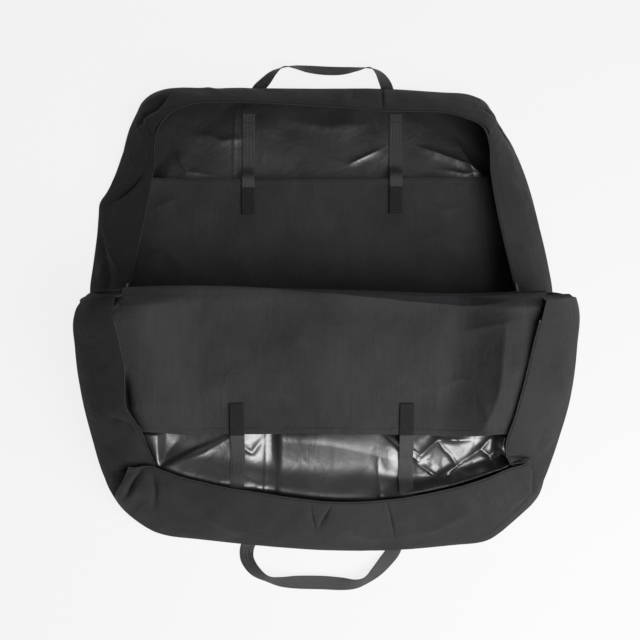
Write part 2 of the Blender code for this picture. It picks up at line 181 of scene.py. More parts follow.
# Zip line (u, x, v) of the front tray: the top band's ends lap over the side walls
front_rim = {
    "right": (
        (0, 0.56, 0.004), (0.25, 0.539, 0.105), (0.5, 0.517, 0.203), (0.75, 0.494, 0.302),
        (1, 0.474, 0.395), (1.15, 0.487, 0.44),
    ),
    "top": (
        (1.08, 0.535, 0.429), (1.25, 0.491, 0.446), (1.42, 0.45, 0.462), (1.65, 0.381, 0.487),
        (1.9, 0.307, 0.508), (2.25, 0.201, 0.528), (2.65, 0.098, 0.536), (3, 0.013, 0.536),
        (3.3, -0.08, 0.526), (3.6, -0.16, 0.513), (3.9, -0.237, 0.5), (4.15, -0.301, 0.485),
        (4.38, -0.36, 0.47), (4.55, -0.404, 0.455), (4.64, -0.436, 0.443), (4.72, -0.468, 0.444),
        (4.82, -0.503, 0.443),
    ),
    "left": (
        (4.7, -0.43, 0.452), (4.85, -0.437, 0.428), (5, -0.452, 0.392), (5.12, -0.463, 0.352),
        (5.22, -0.482, 0.318), (5.32, -0.501, 0.284), (5.42, -0.502, 0.245), (5.55, -0.502, 0.185),
        (5.75, -0.515, 0.112), (5.9, -0.524, 0.052), (6, -0.517, 0.004),
    ),
}
# Where the wall's three lengths start and end, by u
wall_spans = {
    "back": {"right": (0, 1.42), "top": (1.38, 4.62), "left": (4.58, 6)},
    "front": {"right": (0, 1.15), "top": (1.09, 4.81), "left": (4.74, 6)},
}
# How far the ridge sags towards the front tray, by x, and where the pocket cloth's folded edge lies on it
ridge_sag = (
    (-0.68, 0), (-0.6, -0.001), (-0.5, -0.005), (-0.35, -0.008), (-0.1, -0.003), (0, 0), (0.12, 0.003),
    (0.21, 0.007), (0.38, 0.012), (0.47, 0.009), (0.53, 0.006), (0.6, 0.005), (0.68, 0.008),
)
fold_edge = (
    (-0.68, -0.012), (-0.5, -0.012), (-0.25, -0.008), (-0.1, -0.004), (0, 0.002), (0.12, 0.01),
    (0.21, 0.02), (0.3, 0.029), (0.385, 0.035), (0.44, 0.026), (0.5, 0.012), (0.56, 0.004), (0.68, 0.002),
)
# Where the front lining's middle slope turns down to the rim: x and v
crest = ((-0.13, -0.1, 0.02, 0.11, 0.215, 0.24), (0.388, 0.39, 0.4, 0.418, 0.444, 0.45))


def hermite(t, gap, start, after, start_slope, after_slope):
    """Smooth stretch between two values that have these slopes, at t from 0 to 1."""
    return ((1 + 2 * t) * (1 - t) ** 2 * start + t * (1 - t) ** 2 * gap * start_slope
            + t * t * (3 - 2 * t) * after + t * t * (t - 1) * gap * after_slope)


def eased(table, u):
    """Smooth curve through a table of pairs."""
    places, values = np.array(table, float).T
    slopes = np.gradient(values, places)
    k = np.clip(np.searchsorted(places, u) - 1, 0, len(places) - 2)
    gap = places[k + 1] - places[k]
    t = np.clip((u - places[k]) / gap, 0, 1)
    return hermite(t, gap, values[k], values[k + 1], slopes[k], slopes[k + 1])


def ramp(x, low, high):
    """0 below low, 1 above high and smooth between them."""
    t = np.clip((np.asarray(x, float) - low) / (high - low), 0, 1)
    return t * t * (3 - 2 * t)


def unit(vectors):
    """Vectors brought to length 1."""
    return vectors / np.maximum(np.linalg.norm(vectors, axis=-1, keepdims=True), 1e-9)


def reach_of(path):
    """Length run along a path at each of its points."""
    return np.concatenate([[0], np.cumsum(np.linalg.norm(np.diff(path, axis=0), axis=1))])


def spots_on(path, reach, places):
    """Points of a path whose length run is reach, at these places along it."""
    return np.stack([np.interp(places, reach, column) for column in path.T], -1)


def smoothed(values, count):
    """Values evened out with their neighbours count times."""
    for _ in range(count):
        values = np.concatenate([values[:1], (values[:-2] + 2 * values[1:-1] + values[2:]) / 4, values[-1:]])
    return values


def lattice_cell(seed, gx, gy):
    """Random values at the four corners of each place's cell, and the place inside the cell."""
    size = 97
    lattice = np.random.default_rng(seed).uniform(-1, 1, (size, size))
    ix, iy = np.floor(gx).astype(int), np.floor(gy).astype(int)
    fx, fy = gx - ix, gy - iy
    ix, iy, jx, jy = ix % size, iy % size, (ix + 1) % size, (iy + 1) % size
    return lattice[ix, iy], lattice[jx, iy], lattice[ix, jy], lattice[jx, jy], fx, fy


def soft_noise(x, y, size, seed):
    """Smooth unevenness about size metres across, from -1 to 1."""
    gx, gy = np.asarray(x) / size + 48.31, np.asarray(y) / size + 48.77
    low, right, left, high, fx, fy = lattice_cell(seed, gx, gy)
    fx, fy = (f * f * f * (f * (6 * f - 15) + 10) for f in (fx, fy))
    return (low * (1 - fx) + right * fx) * (1 - fy) + (left * (1 - fx) + high * fx) * fy


def wandered(x, y, size, share, stretch, seed):
    """Places pushed about a little, so that creases drawn at them wander."""
    return (x + size * share * soft_noise(x, y, size * stretch, seed + 1),
            y + size * share * soft_noise(x, y, size * stretch, seed + 2))


def crumple(x, y, size, seed):
    """Sharp wandering creases in stiff coated cloth, from 0 in the dips to 1 on the creases."""
    wx, wy = wandered(x, y, size, 0.45, 1.3, seed)
    return 1 - np.minimum(1, 2.2 * np.abs(soft_noise(wx, wy, size, seed)))


def facets(x, y, size, seed):
    """Flat-faced unevenness with straight creases, as stiff coated cloth makes, from -1 to 1."""
    wx, wy = wandered(x, y, size, 0.35, 1.7, seed)
    gx = (0.83 * wx + 0.56 * wy) / size + 48.2
    gy = (-0.56 * wx + 0.83 * wy) / size + 47.6
    low, right, left, high, fx, fy = lattice_cell(seed, gx, gy)
    lower = low + (right - low) * fx + (left - low) * fy
    upper = high + (left - high) * (1 - fx) + (right - high) * (1 - fy)
    return np.where(fx + fy < 1, lower, upper)


def fold(x, y, points, width, height, lean=0.0):
    """Crease through points: its height, and a step that lifts the cloth on its left side by lean."""
    best = np.full(np.shape(x), 1e9)
    side = np.zeros(np.shape(x))
    along = np.zeros(np.shape(x))
    reach = reach_of(points)
    for (ax, ay), (bx, by), run, after in zip(points, points[1:], reach, reach[1:]):
        length = after - run
        dx, dy = (bx - ax) / length, (by - ay) / length
        t = np.clip((x - ax) * dx + (y - ay) * dy, 0, length)
        away = np.hypot(x - ax - t * dx, y - ay - t * dy)
        near = away < best
        best = np.where(near, away, best)
        side = np.where(near, np.sign((y - ay) * dx - (x - ax) * dy), side)
        along = np.where(near, (run + t) / reach[-1], along)
    taper = np.sin(pi * np.clip(along * 0.92 + 0.04, 0, 1)) ** 0.6
    ridge = height * np.exp(-((np.hypot(best, 0.30 * width) / width) ** 1.3)) * 1.23
    step = lean * np.clip(side * best / (0.25 * width), -1, 1) * np.exp(-best / (2.6 * width)) / 2
    return taper * (ridge + step)


def curve(points, u):
    """Places (x, v) at u of an outline given by the points of its right half."""
    u = np.asarray(u, float)
    half = np.where(u <= u_crown, u, u_left - u)
    part = np.clip(half.astype(int), 0, 2)
    t = (half - part)[..., None]
    p = np.array(points, float)
    q = p[2 * part] * (1 - t) ** 2 + 2 * p[2 * part + 1] * t * (1 - t) + p[2 * part + 2] * t * t
    return np.stack([np.where(u <= u_crown, q[..., 0], -q[..., 0]), q[..., 1]], -1)


def moved_curve(points, table, u):
    """The same outline, moved outward by its ease table."""
    step = 1e-3
    u = np.asarray(u, float)
    tangent = unit(curve(points, np.minimum(u + step, u_left)) - curve(points, np.maximum(u - step, 0)))
    outward = np.stack([tangent[..., 1], -tangent[..., 0]], -1)
    return curve(points, u) + outward * eased(table, u)[..., None]


def from_ridge(u):
    """The outline's u counted from the nearer end of the ridge."""
    return np.minimum(u, u_left - u)


class Tray:
    """One half of the bag, with the values that are its own and its places in the world."""

    def __init__(self, name):
        self.name = name
        self.body = name + "_tray"
        self.front = name == "front"
        vars(self).update(tray_values[name])

    def at(self, x, v, n):
        """World places of tray places."""
        x, v, n = np.broadcast_arrays(np.asarray(x, float), v, n)
        if not self.front:
            return np.stack([x, ridge_y + v, n], -1)
        # the front tray leans over the ridge and follows its sag
        v = v + eased(ridge_sag, x) * (1 - ramp(v, 0, 0.13))
        out = v * cos(slope) + (n - ridge_drop) * sin(slope)
        up = (n - ridge_drop) * cos(slope) - v * sin(slope)
        return np.stack([x, ridge_y - out, ridge_height + up], -1)

    def up(self):
        """World direction away from the tray's outer face."""
        return self.at(0, 1, 1) - self.at(0, 1, 0)

    def edge(self, u):
        """Outline, where the wall is sewn on."""
        return moved_curve(half_edge_points, edge_ease[self.name], u)

    def rim(self, u, part=None):
        """Zip line; the front tray's three lengths of it overlap where the wall's cloth is pleated."""
        if not self.front:
            return moved_curve(half_zip_points, back_rim_ease, u)
        u = np.asarray(u, float)
        lines = {name: np.stack([eased([(p[0], p[k]) for p in points], u) for k in (1, 2)], -1)
                 for name, points in front_rim.items()}
        if part is not None:
            return lines[part]
        past_right, past_left = (u < 1.1)[..., None], (u > 4.8)[..., None]
        return np.where(past_right, lines["right"], np.where(past_left, lines["left"], lines["top"]))

    def inset(self, u, distance):
        """Outline moved in towards the zip line."""
        edge, rim = self.edge(u), self.rim(u)
        return edge + unit(rim - edge) * distance


trays = {name: Tray(name) for name in ("back", "front")}

# Creases by tray, in millimetres: the points (x, v) that each runs through, its width, height and any lean
wall_folds = {
    "front": (
        (((-515, 456), (-485, 449), (-440, 438)), 10, -8, -8),
        (((-512, 530), (-487, 482), (-462, 448)), 7, -10, 4),
        (((-440, 456), (-433, 506), (-442, 551)), 10, -7, 3),
        (((25, 538), (-8, 607)), 4.5, -4.5, 4),
        (((-29, 548), (-16, 618)), 4, -3, -2),
        (((163, 530), (177, 575), (190, 640)), 3.5, -3, 3),
        (((470, 420), (511, 424), (545, 434)), 6, -6, 8),
        (((540, 440), (545, 480), (550, 525)), 6, -4, 5),
        (((564, 361), (552, 400), (583, 440)), 13, -3, 2),
        (((435, 650), (484, 603), (528, 556), (562, 500)), 5, -1.6, 2),
        (((203, 634), (307, 613), (410, 546)), 18, 3),
        (((383, 498), (410, 546), (429, 618)), 14, -2.5),
        (((568, 348), (602, 374), (585, 400)), 10, 2.5),
        (((567, 89), (581, 140), (590, 197)), 20, -3),
        (((-560, 20), (-500, -5)), 9, -5, 3),
        (((-539, 316), (-510, 326), (-480, 352)), 7, -7, 4),
        (((-300, 560), (-220, 640)), 20, 3),
        (((-240, 640), (-190, 700)), 12, -2),
        (((60, 600), (110, 640), (170, 650)), 14, 2),
    ),
    "back": (
        (((470, 600), (500, 585), (560, 515)), 10, -5, 4),
        (((184, 705), (180, 640), (176, 575)), 3.5, -3, 3),
        (((110, 700), (85, 620)), 6, -2, 1),
        (((560, 300), (600, 330), (590, 380)), 16, 3),
        (((540, 160), (590, 180), (640, 230)), 14, 2.5),
        (((-450, 640), (-480, 600), (-530, 560)), 12, -6, 4),
        (((-600, 330), (-560, 360), (-500, 400)), 12, -5, 5),
        (((-640, 270), (-600, 180), (-560, 95)), 10, 4, 4),
        (((-620, 200), (-590, 90), (-600, 20)), 13, -3),
        (((-350, 700), (-300, 640)), 14, 2.5),
    ),
}
lining_folds = {
    "front": (
        (((-147, 360), (-150, 600)), 3.5, 2.2, 1.5),
        (((-120, 360), (-124, 600)), 6, -1.5),
        (((-406, 449), (-312, 420), (-235, 376)), 10, 4, 4),
        (((-482, 380), (-452, 470)), 8, 6, 3),
        (((155, 372), (251, 446)), 9, 10, -10),
        (((180, 378), (262, 430)), 6, 6, 5),
        (((290, 505), (345, 470), (416, 414), (450, 380)), 6, 8, 3),
        (((311, 525), (347, 475), (395, 428)), 6, -6, -4),
        (((252, 446), (306, 389), (386, 392)), 8, 9, -4),
        (((254, 452), (305, 487), (355, 457), (333, 422)), 6, 8, 4),
        (((306, 389), (333, 424)), 6, 6, 3),
        (((250, 535), (294, 509), (345, 496)), 7, 9, 6),
        (((416, 414), (440, 432), (457, 462)), 8, 8, -5),
        (((446, 430), (478, 390)), 7, 8, 5),
        (((392, 525), (407, 488)), 6, 6, 3),
        (((-20, 572), (102, 548), (190, 541), (212, 566)), 8, 7, 3),
        (((150, 440), (157, 560)), 6, 3, 2),
        (((-230, 395), (-185, 425), (-160, 392)), 8, 6),
        (((-215, 470), (-170, 500), (-155, 550)), 10, 3),
        (((-380, 480), (-290, 500), (-200, 470)), 20, 4),
    ),
    "back": (
        (((-262, 660), (-262, 380)), 4, 2, 1.5),
        (((300, 505), (380, 472), (439, 447), (500, 406)), 10, 8, 5),
        (((400, 530), (430, 470), (445, 425)), 9, 6, 4),
        (((360, 440), (420, 425), (470, 430)), 8, 5),
        (((80, 455), (130, 480), (170, 500)), 8, 5, 3),
        (((-300, 640), (-240, 655), (-220, 630)), 16, 8),
        (((-360, 560), (-300, 530), (-220, 540)), 14, 5),
        (((-440, 500), (-400, 430), (-330, 420)), 12, 5, 3),
        (((-100, 600), (20, 575), (150, 590)), 22, 4),
    ),
}
pocket_folds = {
    "front": (
        (((239, 179), (270, 190), (300, 225), (310, 262)), 10, 1.2),
        (((323, 243), (350, 228), (385, 224), (425, 250)), 8, 1.2),
        (((250, 262), (275, 245), (305, 262), (300, 300)), 8, 1),
        (((473, 60), (466, 155), (456, 283), (445, 330)), 14, 3.5, 1.5),
        (((469, 314), (501, 292), (535, 286)), 9, 3.5, 3),
        (((469, 306), (449, 350), (436, 384)), 9, 3, 2),
        (((410, 270), (428, 320), (405, 370)), 13, 2),
        (((376, 95), (430, 80), (491, 58)), 12, 2),
        (((230, 66), (282, 110), (309, 129)), 12, 1.8),
        (((-480, -10), (-500, 12), (-535, 40)), 8, -6, 5),
        (((-511, 215), (-509, 255), (-505, 298), (-492, 329), (-476, 350)), 10, -18),
        (((-560, 60), (-400, 30), (-200, 16)), 16, 1.8),
        (((-360, 300), (-250, 220), (-150, 190)), 30, 1.8),
        (((-120, 140), (0, 110), (120, 130)), 34, 2),
    ),
    "back": (
        (((300, 320), (350, 300), (400, 310)), 14, 2.5),
        (((250, 200), (330, 230), (420, 200)), 20, 2.5),
        (((490, 100), (470, 250), (480, 400)), 16, 3),
        (((-500, 300), (-430, 330), (-340, 290)), 16, 3, 1.5),
        (((-540, 150), (-450, 180), (-380, 120)), 20, 3.5),
        (((-150, 150), (0, 180), (100, 140)), 34, 2),
    ),
}


def fold_field(folds, x, v):
    """Height of all these creases, in metres."""
    height = 0.0
    for points, *sizes in folds:
        height = height + fold(x, v, np.array(points) / 1000, *(size / 1000 for size in sizes))
    return height


def wall_relief(tray, u, t, x, v):
    """How far the wall's cloth stands off the even wall, by its belly, folds and small puckers."""
    seed = tray.wall_seed
    belly = tray.wall_belly * np.sin(pi * t) ** 0.8
    waves = 0.0046 * soft_noise(x, v, 0.11, seed) + 0.0020 * soft_noise(x, v, 0.038, seed + 3)
    corner = np.exp(-(((from_ridge(u) - 1.35) / 0.45) ** 2))
    puckers = 0.0022 * corner * crumple(u * 0.42, t * 0.12, 0.05, seed + 5)
    hold = 0.05 + 0.95 * np.sin(pi * np.clip(0.12 + 0.76 * t, 0, 1)) ** 1.2 * ramp(t, -0.02, 0.16)
    if not tray.front:
        straight_side = 1 - ramp(from_ridge(u), 0.95, 1.15)
        hold = hold * (1 - ramp(t, 0.80, 0.97) * straight_side)
    return belly + hold * (waves + puckers + 2.0 * fold_field(wall_folds[tray.name], x, v))


def corner_dip(u):
    """1 where the front wall is pleated at a corner, and 0 away from it."""
    return np.exp(-(((u - 1.13) / 0.30) ** 2))


def wall_ends(tray, u, part):
    """Tray places of the wall's foot and of its zip line."""
    edge, rim = tray.edge(u), tray.rim(u, part)
    foot = np.concatenate([edge, np.full(edge.shape[:-1] + (1,), wall_foot)], -1)
    height = zip_depth + 0.0 * u
    if tray.front:
        near = from_ridge(u)
        dip = top_dip if part in (None, "top") else side_dip
        height = height - 0.014 * ramp(near, 1.1, 1.9) - dip * corner_dip(near)
    return foot, np.concatenate([rim, height[..., None]], -1)


def on_wall(tray, u, t, out, part):
    """World places on a wall: t runs from 0 at its foot to 1 at the zip line, out metres off its middle."""
    u, t = np.broadcast_arrays(np.asarray(u, float), np.asarray(t, float))
    step = 2e-3
    inner = u < u_left - step
    foot, top = wall_ends(tray, u, part)
    foot_ahead, top_ahead = wall_ends(tray, np.where(inner, u + step, u - step), part)
    place = foot + (top - foot) * t[..., None]
    along = foot_ahead + (top_ahead - foot_ahead) * t[..., None] - place
    along *= np.where(inner, 1, -1)[..., None]
    push = wall_relief(tray, u, t, place[..., 0], place[..., 1]) + out
    place = place + unit(np.cross(along, top - foot)) * push[..., None]
    return tray.at(place[..., 0], place[..., 1], np.maximum(place[..., 2], 0.0012))


def wall_widths(tray, u, part):
    """Distance from the wall's foot to the zip line."""
    foot, top = wall_ends(tray, np.asarray(u, float), part)
    return np.linalg.norm(top - foot, axis=-1)


def wall_lap(tray, u, part):
    """How far the top length of the wall lies over the side ones."""
    if part != "top":
        return 0.0 * u
    first, last = wall_spans[tray.name]["top"]
    near = np.minimum(np.abs(u - first), np.abs(u - last))
    return 0.0062 * (1 - ramp(near, 0.0, 0.28)) - 0.0026 * (1 - ramp(near, 0.0, 0.05))


def inside_rim(tray, x, v):
    """Distance inside the zip line, level with the panel; below 0 under the wall."""
    u = np.linspace(0, u_left, 481)
    line = tray.rim(u)
    right, top, left = line[:97], line[97:384], line[384:][::-1]
    across = np.minimum(np.interp(v, right[:, 1], right[:, 0]) - x, x - np.interp(v, left[:, 1], left[:, 0]))
    order = np.argsort(top[:, 0])
    return np.minimum(across, np.interp(x, top[order, 0], top[order, 1]) - v)


def front_lining_rise(x, v):
    """The front lining's large forms: a middle slope with its crest, and raised cloth at the sides."""
    line = np.interp(x, *crest)
    middle = ramp(x, -0.135, -0.105) * (1 - ramp(x, 0.17, 0.25))
    middle = middle * (0.020 * ramp(v, 0.345, line) - 0.17 * np.clip(v - line - 0.006, 0, 0.10))
    right = 0.010 * ramp(x, 0.19, 0.26) * ramp(v, 0.345, 0.395)
    tuck = np.maximum(-0.8 * (x + 0.235) - 0.6 * (v - 0.376), 0)
    past = (v - 0.449) * 0.92 + (x + 0.406) * 0.39
    inner = (1 - ramp(past, -0.010, 0.001)) * ramp(x, -0.432, -0.412) * (1 - ramp(x, -0.25, -0.23))
    left = 0.013 * ramp(x, -0.46, -0.42) * (1 - ramp(x, -0.22, -0.15)) - 0.14 * tuck * inner
    return middle + right + left


def lining_bowl(tray, x, v, height):
    """Front lining drawn up like a bowl towards the rim, and kept under the wall."""
    gap = inside_rim(tray, x, v)
    right = ramp(x, 0.1, 0.25)
    bowl = np.exp(-((gap / np.where(gap > 0, 0.042 - 0.029 * right, 0.032)) ** 2))
    bowl = (0.046 + 0.020 * right) * bowl * ramp(v, 0.350, 0.372)
    ceiling = lining_ceiling - np.maximum(-gap, 0)
    return np.maximum(np.minimum(height + bowl, ceiling), lining_top)


def lining_height(tray, x, v):
    """Top of the creased lining over the tray's outer face."""
    seed = tray.lining_seed
    edge_part = 1 - ramp(np.hypot(x / 0.60, np.maximum(v, 0) / 0.68), 0.98, 1.06)
    if tray.front:
        rough = 0.16 + 0.84 * ramp(x, 0.17, 0.25) + 0.30 * (1 - ramp(np.abs(x + 0.30), 0.10, 0.18))
    else:
        rough = 0.22 + 0.25 * ramp(x, 0.2, 0.35)
    big = 0.0046 * facets(x, v, 0.082, seed) + 0.0020 * facets(x, v, 0.038, seed + 5)
    crease = 0.0010 * crumple(x, v, 0.055, seed + 7) ** 3
    swell = 0.0040 * soft_noise(x, v, 0.17, seed + 4) + 0.0016 * soft_noise(x, v, 0.07, seed + 9)
    rise = front_lining_rise(x, v) if tray.front else 0.0
    field = fold_field(lining_folds[tray.name], x, v)
    lift = (0.0075 + big + crease) * rough + field + swell + rise + 0.003
    under_pocket = 0.0260 + 0.030 * ramp(v, 0.362, 0.400)
    lift = np.clip(lift, 0.0004, under_pocket) * ramp(v, *tray.lining_opens) * edge_part
    height = lining_top + lift
    return (lining_bowl(tray, x, v, height) if tray.front else height) + 0.0001


def mouth_at(tray, x):
    """The pocket mouth's v."""
    ends = 0.004 * (x / 0.5) ** 2 - 0.018 * ramp(np.abs(x), 0.33, 0.47) if tray.front else 0.0
    return tray.pocket_mouth + 0.003 * soft_noise(x, 0 * x, 0.22, 91) + ends


def pocket_side(tray, v):
    """Half width of the pocket at v, on the right and on the left."""
    u = np.clip(np.asarray(v, float) / 0.5, 0, 1)
    return tray.inset(u, pocket_margin)[..., 0], -tray.inset(u_left - u, pocket_margin)[..., 0]


def pocket_top(tray, x, v):
    """Upper face of the pocket's panel over the tray's outer face; the front one also rises at its sides."""
    right, left = pocket_side(tray, v)
    side = np.where(x > 0, right - x, left + x)
    across = ramp(side, 0, tray.pocket_slope)
    along = np.clip((v - wall_start) / (pocket_line - wall_start), 0, 1.1) ** 0.85
    seed = tray.pocket_seed
    drape = 0.0055 * soft_noise(x, v, 0.16, seed) + 0.0020 * soft_noise(x, v, 0.055, seed + 1)
    relief = (drape + 2.6 * fold_field(pocket_folds[tray.name], x, v)) * ramp(v, 0.0, 0.09)
    flat = lining_top + 0.0004 + pocket_thickness
    if not tray.front:
        return flat + across * np.maximum(pocket_bulge * along + relief, 0)
    lift = np.where(x > 0, right_lift * ramp(v, -0.012, 0.030), left_lift * ramp(v, 0, 0.035))
    lift = lift * ramp(side, 0, 0.09) * (1 - ramp(side, 0.13, 0.30))
    lift = lift * (1 - np.where(x > 0, 0.32, 0.5) * ramp(v, 0.28, 0.38))
    top = flat + across * np.maximum(pocket_bulge * along + lift + relief, 0)
    ceiling = zip_depth - side_dip * corner_dip(np.minimum(v, 0.42) / pocket_line) - 0.010
    ceiling = ceiling - 1.1 * np.maximum(-inside_rim(tray, x, v), 0)
    return np.maximum(np.minimum(top, ceiling), flat)


def new_object(name, data):
    """Object in the scene for this mesh, light or camera."""
    item = bpy.data.objects.new(name, data)
    bpy.context.scene.collection.objects.link(item)
    return item


def paired(across, along):
    """Cloth coordinates, in metres, over a grid or round a ring."""
    return np.stack(np.broadcast_arrays(across, along), -1)


def mesh_piece(name, verts, faces, materials, uv=None, kinds=None, sharp=55):
    """Object from arrays, with its cloth measured in metres in its UV map."""
    mesh = bpy.data.meshes.new(name)
    mesh.from_pydata(np.asarray(verts).reshape(-1, 3).tolist(), [], [list(map(int, f)) for f in faces])
    if uv is not None:
        layer = mesh.uv_layers.new(name="cloth")
        corner = np.empty(len(mesh.loops), int)
        mesh.loops.foreach_get("vertex_index", corner)
        layer.data.foreach_set("uv", np.asarray(uv, float).reshape(-1, 2)[corner].ravel())
    mesh.polygons.foreach_set("use_smooth", np.ones(len(mesh.polygons), bool))
    if kinds is not None:
        mesh.polygons.foreach_set("material_index", np.asarray(kinds, np.int32))
    for material in materials:
        mesh.materials.append(material)
    mesh.update()
    if sharp:
        mesh.set_sharp_from_angle(angle=radians(sharp))
    return new_object(name, mesh)


def sheet_piece(name, top, under, materials, uv, strip=None):
    """Closed cloth between two grids of places, its upper one listed so that it faces up."""
    rows, cols = top.shape[:2]
    index = np.arange(rows * cols).reshape(rows, cols)
    a, b, c, d = index[:-1, :-1], index[:-1, 1:], index[1:, 1:], index[1:, :-1]
    upper = np.stack([a, b, c, d], -1).reshape(-1, 4)
    lower = upper[:, ::-1] + rows * cols
    ring = np.concatenate([index[0, :], index[1:, -1], index[-1, -2::-1], index[-2:0:-1, 0]])
    after = np.roll(ring, -1)
    rim = np.stack([ring, ring + rows * cols, after + rows * cols, after], -1)
    faces = np.concatenate([upper, lower, rim])
    kinds = np.zeros(len(faces), np.int32)
    if strip is not None:
        kinds[:len(upper)] = strip.reshape(-1)
    elif len(materials) > 1:
        kinds[len(upper):2 * len(upper)] = 1
    uv = paired(*uv).reshape(-1, 2)
    return mesh_piece(name, np.concatenate([top, under]), faces, materials, np.concatenate([uv, uv]), kinds)


def ring_faces(count, sides):
    """Faces of a closed solid through rings of places."""
    index = np.arange(count * sides).reshape(count, sides)
    after = np.roll(index, -1, axis=1)
    around = np.stack([index[:-1], after[:-1], after[1:], index[1:]], -1).reshape(-1, 4)
    return [*around.tolist(), index[0][::-1].tolist(), index[-1].tolist()]


def swept(name, rings, materials, uv, kinds=None):
    """Closed solid through rings of places, rings x sides x 3."""
    return mesh_piece(name, rings, ring_faces(*rings.shape[:2]), materials, paired(*uv), kinds)


def frames_along(path, up):
    """Directions along a path, across it and up from it."""
    along = unit(np.gradient(path, axis=0))
    across = unit(np.cross(along, up))
    return along, across, np.cross(across, along)


def tube(name, path, radius, sides, material, up, flatten=1.0):
    """Round or flattened cord along a path."""
    _, across, lift = frames_along(path, up)
    turn = 2 * pi * np.arange(sides) / sides
    ring = across[:, None] * np.cos(turn)[:, None] + flatten * lift[:, None] * np.sin(turn)[:, None]
    return swept(name, path[:, None] + radius * ring, [material], (radius * turn, reach_of(path)[:, None]))


def webbing(name, path, across, lift, width, thickness, materials, hook_share=0):
    """Webbing with its middle line on path; the first share of it shows its second material."""
    side, height = (band_section * (width / 2, thickness)).T
    rings = path[:, None] + across[:, None] * side[:, None] + lift[:, None] * height[:, None]
    sections, sides = rings.shape[:2]
    hooks = np.arange((sections - 1) * sides + 2) < int(hook_share * (sections - 1)) * sides
    return swept(name, rings, materials, (side, reach_of(path)[:, None]), hooks)


def stitching(name, paths, up, body, slot_name):
    """Short thread stitches along paths, all in one piece."""
    verts, faces = [], []
    turn = 2 * pi * np.arange(stitch_sides) / stitch_sides
    for path in paths:
        reach = reach_of(path)
        count = int(reach[-1] / (stitch_length + stitch_gap))
        for k in range(count):
            ends = (k + 0.5) * reach[-1] / count + np.array([-0.5, -0.28, 0.28, 0.5]) * stitch_length
            start, near, far, end = spots_on(path, reach, ends)
            along = unit(end - start)
            across = unit(np.cross(along, up))
            lift = np.cross(across, along)
            ring = stitch_radius * (across * np.cos(turn)[:, None] + lift * np.sin(turn)[:, None])
            first = len(verts)
            last = first + 1 + 2 * stitch_sides
            verts += [start, *(near + ring), *(far + ring), end]
            for j in range(stitch_sides):
                a, b = first + 1 + j, first + 1 + (j + 1) % stitch_sides
                c, d = b + stitch_sides, a + stitch_sides
                faces += [(first, b, a), (a, b, c, d), (d, c, last)]
    return settle(mesh_piece(name, verts, faces, [thread_finish], sharp=None), body, slot_name)


# Finishes: every effect that several of them share is a node group

def fill(tree, made, inputs):
    """Set a node's inputs to values, or link them to outputs."""
    for key, value in inputs.items():
        if isinstance(value, bpy.types.NodeSocket):
            tree.links.new(value, made.inputs[key])
        else:
            made.inputs[key].default_value = value
    return made


def joined(tree, kind, inputs, **settings):
    """Outputs of a new node that has these inputs and settings."""
    made = tree.nodes.new(kind)
    for key, value in settings.items():
        setattr(made, key, value)
    return fill(tree, made, inputs).outputs


def placed(tree, effect, **inputs):
    """Outputs of a shared effect."""
    inputs = {key.replace("_", " "): value for key, value in inputs.items()}
    return joined(tree, "ShaderNodeGroup", inputs, node_tree=effect)


def number(tree, operation, *values):
    """Result of a sum on values and outputs."""
    return joined(tree, "ShaderNodeMath", dict(enumerate(values)), operation=operation)[0]


def scaled(tree, value, factor, offset=0.0):
    """Product of value and factor, with offset added."""
    return number(tree, "MULTIPLY_ADD", value, factor, offset)


def wave(tree, turns):
    """Sine that goes round once in each whole turn."""
    return number(tree, "SINE", scaled(tree, turns, 2 * pi))


def noise(tree, place, scale, detail, roughness=0.5, distortion=0.0):
    inputs = dict(Vector=place, Scale=scale, Detail=detail, Roughness=roughness, Distortion=distortion)
    return joined(tree, "ShaderNodeTexNoise", inputs)[0]


def between(tree, value, low, high):
    """0 below low, 1 above high and even between them."""
    return joined(tree, "ShaderNodeMapRange", {"Value": value, "From Min": low, "From Max": high})[0]


def mixed(tree, share, first, second):
    """Colour between two, each a colour or an output."""
    first, second = ((*color, 1) if isinstance(color, tuple) else color for color in (first, second))
    return joined(tree, "ShaderNodeMix", {0: share, 6: first, 7: second}, data_type="RGBA")[2]


def group(name, inputs, outputs):
    """Empty node group, its given outputs and its end; an input without a value is a vector."""
    tree = bpy.data.node_groups.new(name, "ShaderNodeTree")
    for label, value in inputs.items():
        kind = "NodeSocketVector" if value is None else "NodeSocketFloat"
        socket = tree.interface.new_socket(label, in_out="INPUT", socket_type=kind)
        if value is not None:
            socket.default_value = value
    for label in outputs:
        tree.interface.new_socket(label, in_out="OUTPUT", socket_type="NodeSocketFloat")
    return tree, tree.nodes.new("NodeGroupInput").outputs, tree.nodes.new("NodeGroupOutput")


def thread_group():
    """Height of woven threads, with their pitch in metres along both directions."""
    pitches = {"Pitch Across": 0.0008, "Pitch Along": 0.0008}
    tree, given, end = group("woven threads", {"Cloth": None, **pitches}, ["Height"])
    parts = joined(tree, "ShaderNodeSeparateXYZ", {0: given["Cloth"]})
    warp = wave(tree, number(tree, "DIVIDE", parts["X"], given["Pitch Across"]))
    weft = wave(tree, number(tree, "DIVIDE", parts["Y"], given["Pitch Along"]))
    crossing = scaled(tree, warp, weft)
    fill(tree, end, {"Height": scaled(tree, crossing, 0.5, 0.5)})
    return tree


